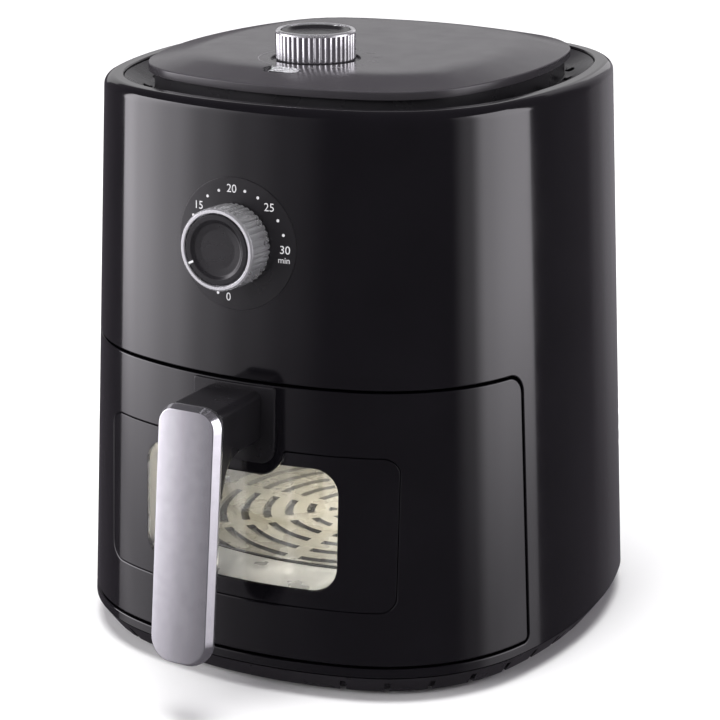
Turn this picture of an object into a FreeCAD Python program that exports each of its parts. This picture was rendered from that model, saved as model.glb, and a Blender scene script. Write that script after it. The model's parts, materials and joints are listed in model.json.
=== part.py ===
"""Countertop air fryer with a pull-out frying drawer, a viewing window and two dials.

Frame: millimetres, +Z up, front of the appliance towards -Y. The origin is the centre of the
footprint on the worktop. Every driving size is a cell of the spreadsheet "Sizes".
"""
import FreeCAD, Part
import math
import os
import re
import Sketcher

Vector = FreeCAD.Vector
Rotation = FreeCAD.Rotation

SIZES = {
    # casing: plan outline of eight tangent arcs, leaning inwards towards the top
    "body_half_width": 135, "body_half_depth": 140, "front_arc": 217.1, "side_arc": 244.5,
    "corner_arc": 93, "lean": 2.65, "body_height": 292.6, "shell_wall": 2.6,
    # skirt and feet
    "foot_height": 3, "foot_radius": 9, "foot_spread": 78, "skirt_top": 13.6, "skirt_tuck": 8.5,
    "skirt_wall": 2.4, "floor_thick": 2.5, "skirt_gap": 0.8, "slot_top": 9.5, "slot_width": 3,
    # rim and sunken vent channel round the top plate
    "rim_round": 5.5, "rim_width": 9.8, "rim_thick": 6, "channel_floor": 279, "channel_thick": 3,
    "plate_edge_inset": 35.9, "plate_flat_inset": 59, "plate_bottom": 294.2, "plate_edge": 298.4,
    "plate_flat": 303.2, "plate_wall": 2.6,
    # drawer front
    "panel_bottom": 19.4, "panel_top": 158.3, "panel_side": 60, "panel_wall": 3, "panel_round": 9,
    "seam": 1.3,
    # viewing window
    "window_half_width": 82.5, "window_bottom": 47, "window_drop": 32.3, "window_round": 8,
    "glass_gap": 0.3, "mask_thick": 0.6,
    "clear_half_width": 54.8, "clear_bottom": 56, "clear_drop": 7, "clear_round": 13,
    "notch_half_width": 26.4, "notch_gap": 5.8, "notch_round": 12,
    # handle
    "mount_half_width": 22.8, "mount_height": 38.7, "mount_round": 8, "mount_thick": 1.4,
    "mount_screw_rise": 22, "mount_screw_spread": 8,
    "arm_half_width": 15.4, "arm_deep": 26, "grip_half_width": 11, "grip_deep": 9,
    "handle_bottom": 30.3, "handle_drop": 0.8, "handle_lean": 6.3, "handle_stand": 37,
    "face_half_width": 17, "face_thick": 5.8, "face_bevel": 1.5, "face_round_top": 10,
    "face_round_bottom": 13,
    # pot, crisper plate and bay
    "pot_bottom": 24.6, "pot_drop": 16.3, "pot_inset_bottom": 42, "pot_inset_top": 33, "pot_wall": 1.4,
    "pot_screw_rise": 9, "pot_screw_spread": 20,
    "crisper_level": 45, "crisper_thick": 2.2, "crisper_clear": 4.5,
    "liner_bottom": 20.4, "liner_top": 165, "liner_inset": 18, "liner_wall": 1.2,
    "rail_place": 62, "rail_half_width": 5, "rail_gap": 0.3,
    # hot air head
    "deck_thick": 1.6, "dome_radius": 92, "dome_top": 205, "dome_top_radius": 62, "dome_wall": 1,
    "coil_level": 176, "coil_radius": 76, "coil_inner_radius": 54, "coil_tube": 3.4,
    "fan_radius": 66, "fan_bottom": 186, "fan_height": 13, "shaft_radius": 4, "run_gap": 0.06,
    "motor_bottom": 213, "motor_top": 250, "motor_radius": 39, "cooling_bottom": 255.5,
    "cooling_height": 10, "cooling_radius": 58,
    # dials
    "timer_level": 225.8, "bezel_radius": 32.3, "bezel_thick": 1.2, "knob_radius": 20,
    "knob_length": 17.3, "flute_radius": 1.05, "dial_shaft_radius": 3,
    "dial_place": 49.5, "dial_height": 14.4, "seat_radius": 22.3, "seat_deep": 1.2,
    # indicator window in the top plate
    "lamp_place": 83.5, "lamp_half_width": 10, "lamp_half_depth": 3.8,
    # mains lead inlet
    "inlet_level": 44, "inlet_radius": 8, "inlet_bore": 4.1, "inlet_length": 16,
    # air outlets in the back
    "vent_low": 80, "vent_pitch": 9, "vent_slot": 4, "grille_half_width": 70,
    # fasteners
    "screw_radius": 1.7, "screw_head": 3.6, "screw_play": 0.1,
}

# places that follow the sizes they are measured from
FOLLOWING = {
    "handle_top": "panel_top - handle_drop",
    "handle_reach": "body_half_depth + handle_stand",
    "mount_bottom": "handle_top - mount_height",
    "notch_bottom": "mount_bottom - notch_gap",
    "window_top": "panel_top - window_drop",
    "clear_top": "window_top - clear_drop",
    "pot_top": "panel_top - pot_drop",
    "prism_start": "body_half_depth - 54",
}

FLUTES = 40
FAN_BLADES = 7
COOLING_BLADES = 9
SIDE_VENT_ROWS = 4
REAR_VENT_ROWS = 12

document = FreeCAD.newDocument("AirFryer")
sheet = document.addObject("Spreadsheet::Sheet", "Sizes")
for row, (alias, size) in enumerate(SIZES.items(), start=1):
    sheet.set(f"A{row}", alias)
    sheet.set(f"B{row}", str(size))
    sheet.setAlias(f"B{row}", alias)
document.recompute()


def linked(text):
    """An expression whose size names point at the spreadsheet."""

    def point(match):
        word = match[0]
        if word in FOLLOWING:
            return f"({linked(FOLLOWING[word])})"
        return f"Sizes.{word}" if word in SIZES else word

    return re.sub(r"[a-z_]+", point, str(text))


def value(text):
    """The present value of an expression, in millimetres or degrees."""
    answer = sheet.evalExpression(linked(text))
    return float(getattr(answer, "Value", answer))


def lean_in(level, extra="0"):
    """How far the leaning casing surface, or one 'extra' inside it, is set in at a level."""
    return f"({level}) * tan(lean * 1 deg) + ({extra})"


def bind(thing, **sizes):
    """Ties properties to expressions; x, y and z are the placement."""
    for name, text in sizes.items():
        path = f"Placement.Base.{name}" if name in ("x", "y", "z") else name
        thing.setExpression(path, linked(text))
    return thing


def add(kind, label, x="0", y="0", z="0", turn=None, **sizes):
    thing = document.addObject(kind, label)
    if turn:
        thing.Placement = FreeCAD.Placement(Vector(0, 0, 0), Rotation(Vector(*turn[0]), turn[1]))
    return bind(thing, x=x, y=y, z=z, **sizes)


def box(label, x0, x1, y0, y1, z0, z1):
    """A block between two corners."""
    return add("Part::Box", label, x0, y0, z0,
               Length=f"({x1}) - ({x0})", Width=f"({y1}) - ({y0})", Height=f"({z1}) - ({z0})")


def rod(label, radius, length, x="0", y="0", z="0", turn=None):
    return add("Part::Cylinder", label, x, y, z, turn, Radius=radius, Height=length)


def join(kind, label, things):
    thing = document.addObject(kind, label)
    if kind == "Part::Compound":
        thing.Links = things
    else:
        thing.Shapes = things
    return thing


def cut(label, base, *tools):
    thing = document.addObject("Part::Cut", label)
    thing.Base = base
    thing.Tool = tools[0] if len(tools) == 1 else join("Part::MultiFuse", f"{label}_cutters", list(tools))
    return thing


def fuse(label, *things):
    return join("Part::MultiFuse", label, list(things))


def common(label, *things):
    return join("Part::MultiCommon", label, list(things))


def group(label, *things):
    return join("Part::Compound", label, list(things))


# ---------------------------------------------------------------- sketches


def new_sketch(label, x, y, z, turn):
    sketch = document.addObject("Sketcher::SketchObject", label)
    if turn:
        sketch.Placement = FreeCAD.Placement(Vector(0, 0, 0), Rotation(*turn))
    return bind(sketch, x=x, y=y, z=z)


def dimension(sketch, kind, where, text):
    index = sketch.addConstraint(Sketcher.Constraint(kind, *where, value(text)))
    sketch.setExpression(f"Constraints[{index}]", linked(text))


SIDE_VIEW = (Vector(0, 1, 0), Vector(0, 0, 1), Vector(1, 0, 0), "XYZ")
FRONT_VIEW = (Vector(1, 0, 0), Vector(0, 0, 1), Vector(0, -1, 0), "XYZ")


def outline(label, level, inset):
    """The casing's plan at a level: eight tangent arcs, all set in by the same amount."""
    half_width, half_depth = value("body_half_width"), value("body_half_depth")
    front, side, corner, shrink = value("front_arc"), value("side_arc"), value("corner_arc"), value(inset)
    centre_y, centre_x = half_depth - front, half_width - side
    apart = math.hypot(centre_x, centre_y)
    along = ((front - corner) ** 2 - (side - corner) ** 2 + apart ** 2) / (2 * apart)
    off = math.sqrt((front - corner) ** 2 - along ** 2)
    corner_x = (along * centre_x - off * centre_y) / apart
    corner_y = centre_y + (-along * centre_y - off * centre_x) / apart
    side_end = math.atan2(corner_y, corner_x - centre_x)
    front_end = math.pi / 2 - math.atan2(corner_x, corner_y - centre_y)
    half_turn = math.pi
    arcs = []
    for centre, radius, start, end in (
            ((centre_x, 0), side, -side_end, side_end),
            ((corner_x, corner_y), corner, side_end, front_end),
            ((0, centre_y), front, front_end, half_turn - front_end),
            ((-corner_x, corner_y), corner, half_turn - front_end, half_turn - side_end),
            ((-centre_x, 0), side, half_turn - side_end, half_turn + side_end),
            ((-corner_x, -corner_y), corner, half_turn + side_end, half_turn + front_end),
            ((0, -centre_y), front, half_turn + front_end, 2 * half_turn - front_end),
            ((corner_x, -corner_y), corner, 2 * half_turn - front_end, 2 * half_turn - side_end)):
        circle = Part.Circle(Vector(*centre, 0), Vector(0, 0, 1), radius - shrink)
        arcs.append(Part.ArcOfCircle(circle, start, end))
    sketch = new_sketch(label, "0", "0", level, None)
    sketch.addGeometry(arcs, False)
    rules = [Sketcher.Constraint("Tangent", arc, 2, (arc + 1) % 8, 1) for arc in range(8)]
    rules += [Sketcher.Constraint("PointOnObject", arc, 3, -1) for arc in (0, 4)]
    rules += [Sketcher.Constraint("PointOnObject", arc, 3, -2) for arc in (2, 6)]
    sketch.addConstraint(rules)
    for arc in range(8):
        radius = "corner_arc" if arc % 2 else ("side_arc", "front_arc")[arc // 2 % 2]
        dimension(sketch, "Radius", (arc,), f"{radius} - ({inset})")
    dimension(sketch, "DistanceX", (-1, 1, 0, 3), "body_half_width - side_arc")
    dimension(sketch, "DistanceX", (-1, 1, 4, 3), "side_arc - body_half_width")
    dimension(sketch, "DistanceY", (-1, 1, 2, 3), "body_half_depth - front_arc")
    dimension(sketch, "DistanceY", (-1, 1, 6, 3), "front_arc - body_half_depth")
    return sketch


def polygon(label, points, view=SIDE_VIEW, x="0", y="0", z="0"):
    """A closed straight-sided profile; each corner is a pair of expressions."""
    corners = [Vector(value(across), value(up), 0) for across, up in points]
    sketch = new_sketch(label, x, y, z, view)
    count = len(corners)
    sketch.addGeometry([Part.LineSegment(corners[i], corners[(i + 1) % count]) for i in range(count)], False)
    sketch.addConstraint([Sketcher.Constraint("Coincident", i, 2, (i + 1) % count, 1) for i in range(count)])
    for i, (across, up) in enumerate(points):
        for kind, text in (("DistanceX", across), ("DistanceY", up)):
            dimension(sketch, kind, (-1, 1, i, 1), text)
    return sketch


def rounded(label, x0, x1, y0, y1, low_round, high_round, view=FRONT_VIEW, x="0", y="0", z="0"):
    """A rectangle with rounded corners, with one radius below and one above."""
    left, right, low, high = (value(text) for text in (x0, x1, y0, y1))
    small, large = value(low_round), value(high_round)
    quarter = math.pi / 2
    corners = ((right - small, low + small, small, 3), (right - large, high - large, large, 0),
               (left + large, high - large, large, 1), (left + small, low + small, small, 2))
    edges = []
    for i, (across, up, radius, turn) in enumerate(corners):
        circle = Part.Circle(Vector(across, up, 0), Vector(0, 0, 1), radius)
        edges.append(Part.ArcOfCircle(circle, turn * quarter, (turn + 1) * quarter))
    ends = [(edge.StartPoint, edge.EndPoint) for edge in edges]
    edges += [Part.LineSegment(ends[i][1], ends[(i + 1) % 4][0]) for i in range(4)]
    sketch = new_sketch(label, x, y, z, view)
    sketch.addGeometry(edges, False)
    rules = []
    for i in range(4):
        rules.append(Sketcher.Constraint("Tangent", i, 2, 4 + i, 1))
        rules.append(Sketcher.Constraint("Tangent", 4 + i, 2, (i + 1) % 4, 1))
        rules.append(Sketcher.Constraint("Horizontal" if i % 2 else "Vertical", 4 + i))
    sketch.addConstraint(rules)
    for i, text in enumerate((low_round, high_round, high_round, low_round)):
        dimension(sketch, "Radius", (i,), text)
    dimension(sketch, "DistanceX", (-1, 1, 4, 1), x1)
    dimension(sketch, "DistanceX", (-1, 1, 6, 1), x0)
    dimension(sketch, "DistanceY", (-1, 1, 5, 1), y1)
    dimension(sketch, "DistanceY", (-1, 1, 7, 1), y0)
    return sketch


def extrude(label, sketch, length, both=False):
    """A prism from a sketch, along its normal or evenly to both sides."""
    thing = document.addObject("Part::Extrusion", label)
    thing.Base = sketch
    thing.DirMode = "Normal"
    thing.Solid = True
    thing.Symmetric = both
    return bind(thing, LengthFwd=length)


def loft(label, sections):
    thing = document.addObject("Part::Loft", label)
    thing.Sections = sections
    thing.Solid = True
    thing.Ruled = True
    return thing


def stack(label, *sections):
    """A solid through casing outlines, each given as a level and an inset."""
    return loft(label, [outline(f"{label}_{i}", *section) for i, section in enumerate(sections)])


def leaning(label, low, high, extra):
    """A solid plug between two levels whose wall is 'extra' inside the casing surface."""
    return stack(label, (low, lean_in(low, extra)), (high, lean_in(high, extra)))


def skin(label, low, high, outer, inner):
    """A shell between two depths under the casing surface."""
    return cut(label, leaning(f"{label}_out", low, high, outer),
               leaning(f"{label}_in", f"({low}) - 1", f"({high}) + 1", inner))


def turned(label, points, x="0", y="0", z="0", turn=None):
    """A body of revolution about its own Z axis; each corner is a radius and a height."""
    body = document.addObject("PartDesign::Body", label)
    plane = next(o for o in body.Origin.OriginFeatures if o.Role == "XZ_Plane")
    sketch = body.newObject("Sketcher::SketchObject", f"{label}_profile")
    sketch.AttachmentSupport = [(plane, "")]
    sketch.MapMode = "FlatFace"
    corners = [Vector(value(radius), value(height), 0) for radius, height in points]
    count = len(corners)
    sketch.addGeometry([Part.LineSegment(corners[i], corners[(i + 1) % count]) for i in range(count)], False)
    sketch.addConstraint([Sketcher.Constraint("Coincident", i, 2, (i + 1) % count, 1) for i in range(count)])
    for i, pair in enumerate(points):
        for kind, text in zip(("DistanceX", "DistanceY"), pair):
            dimension(sketch, kind, (-1, 1, i, 1), text)
    spin = body.newObject("PartDesign::Revolution", f"{label}_turned")
    spin.Profile = sketch
    spin.ReferenceAxis = (sketch, ["V_Axis"])
    spin.Angle = 360
    if turn:
        body.Placement = FreeCAD.Placement(Vector(0, 0, 0), Rotation(*turn))
    return bind(body, x=x, y=y, z=z)


def at_corners(label, make, across, deep):
    """Four equal pieces at plus and minus a spread, as one group."""
    pieces = [make(f"{label}_{i}", f"{sx} * ({across})", f"{sy} * ({deep})")
              for i, (sx, sy) in enumerate(((1, 1), (-1, 1), (-1, -1), (1, -1)))]
    return group(label, *pieces)


def screw(label, x, y, z, length, turn=None):
    """A pan-head screw: head below z, shank up from z, before any turn."""
    return turned(label, [("0", "-2"), ("screw_head - 0.8", "-2"), ("screw_head", "-1"), ("screw_head", "0"),
                          ("screw_radius", "0"), ("screw_radius", length), ("0", length)], x, y, z, turn)


NODES = []


def keep(thing, label):
    thing.Label = label
    NODES.append(thing)
    return thing


# ---------------------------------------------------------------- casing

GRILLE_LOW = "vent_low - 6"
GRILLE_HIGH = f"vent_low + {REAR_VENT_ROWS} * vent_pitch + 1"
BACK_BLOCK = ("body_half_depth - 80", "body_half_depth + 60")
FRONT_WALL_Y = "-(body_half_depth - (timer_level) * tan(lean * 1 deg))"


def drawer_prism(label, margin):
    """The side view of the drawer front, grown by a margin, right across the appliance."""
    profile = rounded(f"{label}_side", "-400", f"-panel_side + ({margin})", f"panel_bottom - ({margin})",
                      f"panel_top + ({margin})", f"3 + ({margin})", f"panel_round + ({margin})", SIDE_VIEW)
    return extrude(label, profile, "600", both=True)


def outer_shell():
    sections = [("skirt_top", lean_in("skirt_top"))]
    for degrees in (0, 30, 60, 90):
        level = f"body_height - rim_round * (1 - {math.sin(math.radians(degrees)):.6f})"
        inset = lean_in("body_height - rim_round", f"rim_round * {1 - math.cos(math.radians(degrees)):.6f}")
        sections.append((level, inset))
    outside = stack("shell_outside", *sections)
    inside = leaning("shell_inside", "skirt_top - 1", "body_height - rim_thick", "shell_wall")
    hole = stack("shell_hole", ("body_height - rim_thick - 1", lean_in("body_height", "rim_width")),
                 ("body_height + 1", lean_in("body_height", "rim_width")))
    cutters = [inside, hole, drawer_prism("shell_drawer_gap", "seam"),
               box("shell_rear_gap", "-grille_half_width", "grille_half_width", *BACK_BLOCK, GRILLE_LOW,
                   GRILLE_HIGH),
               rod("shell_timer_hole", "9", "60", "0", "-body_half_depth - 20", "timer_level",
                   ((1, 0, 0), -90)),
               rod("shell_inlet_hole", "inlet_radius + 0.2", "60", "0", "body_half_depth - 40", "inlet_level",
                   ((1, 0, 0), -90))]
    for i in range(SIDE_VENT_ROWS):
        low = f"vent_low + {i} * vent_pitch"
        cutters.append(box(f"shell_slot_{i}", "-200", "200", "body_half_depth - 68", "body_half_depth - 32",
                           low, f"{low} + vent_slot"))
    return cut("shell_cut", outside, *cutters)


keep(outer_shell(), "outer_shell")


def rear_screw_place(side, level, depth):
    """A point under the back wall near the grille's edge, and the wall's outward direction there."""
    across = value("grille_half_width - 5")
    slope = across / (value("front_arc") - value(lean_in(level)))
    outward = Vector(side * slope, math.sqrt(1 - slope * slope), 0)
    centre_y = "body_half_depth - front_arc"
    reach = f"front_arc - ({lean_in(level)}) - ({depth})"
    return f"({reach}) * {outward.x:.6f}", f"{centre_y} + ({reach}) * {outward.y:.6f}", outward


def rear_screws():
    """The four places where a screw holds the grille."""
    return [(side, level) for side in (-1, 1) for level in (f"{GRILLE_LOW} + 9", f"{GRILLE_HIGH} - 9")]


def rear_grille():
    """Louvred panel that closes the opening in the back, flush with the casing, with a flange behind."""
    panel = common("grille_panel",
                   skin("grille_skin", f"{GRILLE_LOW} + 0.4", f"{GRILLE_HIGH} - 0.4", "0.2",
                        "0.2 + shell_wall"),
                   box("grille_frame", "-grille_half_width + 0.4", "grille_half_width - 0.4", *BACK_BLOCK,
                       f"{GRILLE_LOW} + 0.4", f"{GRILLE_HIGH} - 0.4"))
    flange = cut("grille_flange",
                 common("grille_flange_band",
                        skin("grille_flange_skin", f"{GRILLE_LOW} - 6", f"{GRILLE_HIGH} + 6",
                             "0.2 + shell_wall",
                             "2.2 + shell_wall"),
                        box("grille_flange_frame", "-grille_half_width - 6", "grille_half_width + 6",
                            *BACK_BLOCK,
                            "0", "body_height")),
                 box("grille_flange_hole", "-grille_half_width + 9", "grille_half_width - 9", *BACK_BLOCK,
                     f"{GRILLE_LOW} + 5", f"{GRILLE_HIGH} - 5"))
    tools = [box(f"grille_slot_{i}_{j}", x0, x1, *BACK_BLOCK, f"vent_low + {i} * vent_pitch",
                 f"vent_low + {i} * vent_pitch + vent_slot")
             for i in range(REAR_VENT_ROWS)
             for j, (x0, x1) in enumerate((("-grille_half_width + 10", "-4"),
                                           ("4", "grille_half_width - 10")))]
    for i, (side, level) in enumerate(rear_screws()):
        x, y, outward = rear_screw_place(side, level, "12")
        hole = rod(f"grille_hole_{i}", "screw_radius + screw_play", "30", x, y, level)
        hole.Placement.Rotation = Rotation(Vector(0, 0, 1), outward)
        tools.append(hole)
    return cut("grille_cut", fuse("grille_whole", panel, flange), *tools)


keep(rear_grille(), "rear_grille")
screws = []
for number, (side, level) in enumerate(rear_screws()):
    x, y, outward = rear_screw_place(side, level, "-0.1")
    screws.append(screw(f"rear_screw_{number}", x, y, level, "9", (Vector(0, 0, 1), -outward)))
keep(group("rear_screws_shape", *screws), "rear_screws")


def base_pan():
    """Tray under the casing: a skirt that tucks in towards the feet, with slots for cooling air."""
    outside = stack("pan_outside", ("foot_height", "skirt_tuck"), ("skirt_top - skirt_gap", "1.2"))
    inside = stack("pan_inside", ("foot_height + floor_thick", "skirt_tuck + skirt_wall"),
                   ("skirt_top - skirt_gap + 0.1", "1.2 + skirt_wall"))
    lip = cut("pan_lip", stack("pan_lip_outside",
                               ("skirt_top - skirt_gap - 2", lean_in("skirt_top", "shell_wall + 0.2")),
                               ("skirt_top + 5", lean_in("skirt_top + 5", "shell_wall + 0.2"))),
              stack("pan_lip_inside", ("skirt_top - skirt_gap - 3", lean_in("skirt_top", "shell_wall + 2.2")),
                    ("skirt_top + 6", lean_in("skirt_top + 6", "shell_wall + 2.2"))))
    tray = cut("pan_tray", outside, inside)
    band = cut("pan_slot_band", stack("pan_slot_outside", ("0", "-9"), ("slot_top", "-9")),
               stack("pan_slot_inside", ("-1", "skirt_tuck + skirt_wall + 3"),
                     ("slot_top + 1", "skirt_wall + 5")))
    spokes = []
    for i, degrees in enumerate(range(-66, 247, 9)):
        reach = Vector(math.cos(math.radians(degrees)), math.sin(math.radians(degrees)), 0)
        spokes.append(add("Part::Box", f"pan_slot_{i}", turn=((0, 0, 1), degrees), z="-1", Length="100",
                          Width="slot_width", Height="20",
                          x=f"{90 * reach.x:.4f} + slot_width / 2 * {reach.y:.6f}",
                          y=f"{90 * reach.y:.4f} - slot_width / 2 * {reach.x:.6f}"))
    front_gap = drawer_prism("pan_drawer_gap", "seam")
    slots = common("pan_slots", band, group("pan_spokes", *spokes))
    posts = [rod(f"pan_post_{i}", "5", "liner_bottom - foot_height - floor_thick", x, y,
                 "foot_height + floor_thick")
             for i, (x, y) in enumerate((("70", "66"), ("-70", "66"), ("-70", "-50"), ("70", "-50")))]
    return cut("pan_cut", fuse("pan_whole", tray, lip, *posts), front_gap, slots)


keep(base_pan(), "base_pan")


def foot(label, x, y):
    return turned(label, [("2.2", "0"), ("foot_radius - 1", "0"), ("foot_radius", "1"),
                          ("foot_radius", "foot_height"), ("2.2", "foot_height")], x, y, "0")


keep(at_corners("feet", foot, "foot_spread", "foot_spread"), "feet")


def cord_inlet():
    """Bush in the back wall that the mains lead comes out of."""
    wall = "body_half_depth - inlet_level * tan(lean * 1 deg)"
    return turned("inlet_turned", [("inlet_bore", "0"), ("inlet_radius - 1", "0"), ("inlet_radius", "5"),
                                   ("inlet_radius", "inlet_length - 4"),
                                   ("inlet_radius + 3", "inlet_length - 4"),
                                   ("inlet_radius + 2", "inlet_length"), ("inlet_bore", "inlet_length")],
                  "0", f"{wall} + 4 - inlet_length + 0.6", "inlet_level", (Vector(1, 0, 0), -90))


keep(cord_inlet(), "cord_inlet")


# ---------------------------------------------------------------- top of the casing

DIAL_Y = "-dial_place"


def vent_ring():
    """Dark channel round the top plate: a slotted floor and an inner wall that carries the plate."""
    floor_top = "channel_floor + channel_thick"
    floor_ring = stack("channel_outside", ("channel_floor", lean_in("channel_floor", "shell_wall + 0.3")),
                       (floor_top, lean_in(floor_top, "shell_wall + 0.3")))
    wall = stack("channel_wall", ("channel_floor", "plate_edge_inset + plate_wall + 0.3"),
                 ("plate_bottom + 2.3", "plate_edge_inset + plate_wall + 0.3"))
    middle = stack("channel_middle", ("channel_floor - 1", "plate_edge_inset + plate_wall + 3"),
                   ("plate_bottom + 4", "plate_edge_inset + plate_wall + 3"))
    slots = []
    for i, degrees in enumerate(range(0, 360, 15)):
        spoke = add("Part::Box", f"channel_slot_{i}", turn=((0, 0, 1), degrees), Length="200", Width="9",
                    Height="10", z="channel_floor - 2")
        slots.append(spoke)
    band = cut("channel_band", stack("channel_band_outside", ("channel_floor - 1", "plate_edge_inset - 9"),
                                     ("channel_floor + 6", "plate_edge_inset - 9")),
               stack("channel_band_inside", ("channel_floor - 2", "plate_edge_inset"),
                     ("channel_floor + 7", "plate_edge_inset")))
    return cut("channel_cut", fuse("channel_whole", floor_ring, wall), middle,
               common("channel_slots", band, group("channel_spokes", *slots)))


keep(vent_ring(), "top_vent_ring")


def plate_solid(label):
    return stack(label, ("plate_bottom", "plate_edge_inset"), ("plate_edge", "plate_edge_inset"),
                 ("plate_flat", "plate_flat_inset"))


def lamp_prism(label, margin):
    half_width, half_depth = f"lamp_half_width - {margin}", f"lamp_half_depth - {margin}"
    outline_sketch = rounded(f"{label}_outline", f"-({half_width})", half_width,
                             f"-lamp_place - ({half_depth})",
                             f"-lamp_place + ({half_depth})", f"{half_depth} - 0.3", f"{half_depth} - 0.3",
                             None,
                             z="plate_flat - 4.4")
    return extrude(label, outline_sketch, "10")


def top_plate():
    hollow = stack("plate_hollow", ("plate_bottom - 1", "plate_edge_inset + plate_wall"),
                   ("plate_edge - 1.6", "plate_edge_inset + plate_wall"),
                   ("plate_flat - plate_wall", "plate_flat_inset + 1"))
    seat = rod("plate_seat", "seat_radius", "9", "0", DIAL_Y, "plate_flat - seat_deep")
    hole = rod("plate_hole", "dial_shaft_radius + 1.2", "40", "0", DIAL_Y, "plate_flat - 20")
    return cut("plate_cut", plate_solid("plate_solid"), hollow, seat, hole, lamp_prism("plate_slot", "0"))


keep(top_plate(), "top_plate")
keep(common("lens_shape", plate_solid("lens_blank"), lamp_prism("lens_prism", "0.15")), "indicator_lens")


def indicator_board():
    """Small circuit board with two lights under the window in the top plate."""
    top = "plate_flat - 11.4"
    board = box("board_shape", "-18", "18", "-lamp_place - 8", "-lamp_place + 8", f"{top} - 1.6", top)
    lights = [rod(f"light_{i}", "2.2", "5", f"{x}", "-lamp_place", top) for i, x in enumerate((-5, 5))]
    return fuse("board_whole", board, *lights)


keep(indicator_board(), "indicator_board")


def thermostat():
    low, high = "plate_flat - 29", "plate_flat - 7.2"
    block = box("thermostat_block", "-15", "15", f"{DIAL_Y} - 13", f"{DIAL_Y} + 13", low, high)
    bore = rod("thermostat_bore", "dial_shaft_radius + run_gap", "14", "0", DIAL_Y, f"{high} - 10")
    strap = box("thermostat_strap", "-34", "34", f"{DIAL_Y} - 8", f"{DIAL_Y} + 8", high, f"{high} + 1.4")
    strap_hole = rod("thermostat_strap_hole", "dial_shaft_radius + 1", "9", "0", DIAL_Y, f"{high} - 4")
    posts = [rod(f"thermostat_post_{i}", "3", f"(plate_flat - plate_wall) - ({high} + 1.4)", x, DIAL_Y,
                 f"{high} + 1.4")
             for i, x in enumerate(("-29", "29"))]
    keep(cut("thermostat_cut", block, bore), "thermostat_body")
    keep(fuse("thermostat_bracket_whole", cut("thermostat_strap_cut", strap, strap_hole), *posts),
         "thermostat_bracket")


thermostat()


# ---------------------------------------------------------------- dials


def dial(prefix, length, place, shaft_in):
    """A fluted knob with a bright front ring, a dished black cap and its round shaft."""
    top = length
    bore = "dial_shaft_radius + 0.02"
    sleeve = turned(f"{prefix}_sleeve", [
        (bore, "1.2"), ("6", "1.2"), ("6", f"{top} - 6.6"), ("knob_radius - 2.8", f"{top} - 6.6"),
        ("knob_radius - 2.8", "0.2"), ("knob_radius - 0.6", "0.2"), ("knob_radius", "0.8"),
        ("knob_radius", f"{top} - 1.6"), ("knob_radius - 2.6", f"{top} - 1.6"),
        ("knob_radius - 2.6", f"{top} - 4.6"), (bore, f"{top} - 4.6")])
    flutes = [rod(f"{prefix}_flute_{i}", "flute_radius", f"{top} - 3.4",
                  f"(knob_radius + 0.35) * {math.cos(2 * math.pi * i / FLUTES):.6f}",
                  f"(knob_radius + 0.35) * {math.sin(2 * math.pi * i / FLUTES):.6f}",
                  "1") for i in range(FLUTES)]
    knob = cut(f"{prefix}_fluted", sleeve, group(f"{prefix}_flutes", *flutes))
    ring = turned(f"{prefix}_ring_shape", [
        ("knob_radius - 2.5", f"{top} - 1.6"), ("knob_radius - 0.1", f"{top} - 1.6"),
        ("knob_radius - 0.1", f"{top} - 0.8"), ("knob_radius - 0.8", top), ("knob_radius - 2.1", top),
        ("knob_radius - 2.5", f"{top} - 0.4")])
    cap = turned(f"{prefix}_cap_shape", [
        ("0", f"{top} - 4.5"), ("knob_radius - 2.7", f"{top} - 4.5"), ("knob_radius - 2.7", f"{top} - 0.9"),
        ("knob_radius - 3.3", f"{top} - 0.3"), ("knob_radius - 5.6", f"{top} - 0.3"),
        ("knob_radius - 6.6", f"{top} - 1.1"), ("0", f"{top} - 1.8")])
    shaft = turned(f"{prefix}_shaft_shape", [
        ("0", f"-({shaft_in})"), ("dial_shaft_radius", f"-({shaft_in})"),
        ("dial_shaft_radius", f"{top} - 4.7"), ("0", f"{top} - 4.7")])
    for piece in (knob, ring, cap, shaft):
        place(piece)
    return knob, ring, cap, shaft


def place_temperature(piece):
    bind(piece, x="0", y=DIAL_Y, z="plate_flat - seat_deep")


def place_timer(piece, behind="0"):
    """Stands a piece on the timer's axis, which is square to the leaning front wall."""
    piece.Placement = FreeCAD.Placement(Vector(0, 0, 0), Rotation(Vector(1, 0, 0), 90))
    bind(piece, x="0", y=f"{FRONT_WALL_Y} - 0.4 + ({behind}) * cos(lean * 1 deg)",
         z=f"timer_level - ({behind}) * sin(lean * 1 deg)", **{"Placement.Rotation.Angle": "90 - lean"})
    return piece


for name, piece in zip(("temperature_knob", "temperature_knob_ring", "temperature_knob_cap",
                        "thermostat_shaft"),
                       dial("temperature", "dial_height + seat_deep", place_temperature, "13")):
    keep(piece, name)
for name, piece in zip(("timer_knob", "timer_knob_ring", "timer_knob_cap", "timer_shaft"),
                       dial("timer", "knob_length", place_timer, "19")):
    keep(piece, name)


def timer_bezel():
    """Scale disc round the timer knob, which follows the curve of the casing."""
    skin = cut("bezel_skin", leaning("bezel_outside", "180", "272", "-0.4"),
               leaning("bezel_inside", "179", "273", "0"))
    disc = place_timer(rod("bezel_disc", "bezel_radius", "60"), "30")
    hole = place_timer(rod("bezel_hole", "9", "60"), "30")
    return cut("bezel_cut", common("bezel_round", skin, disc), hole)


keep(timer_bezel(), "timer_bezel")


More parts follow.
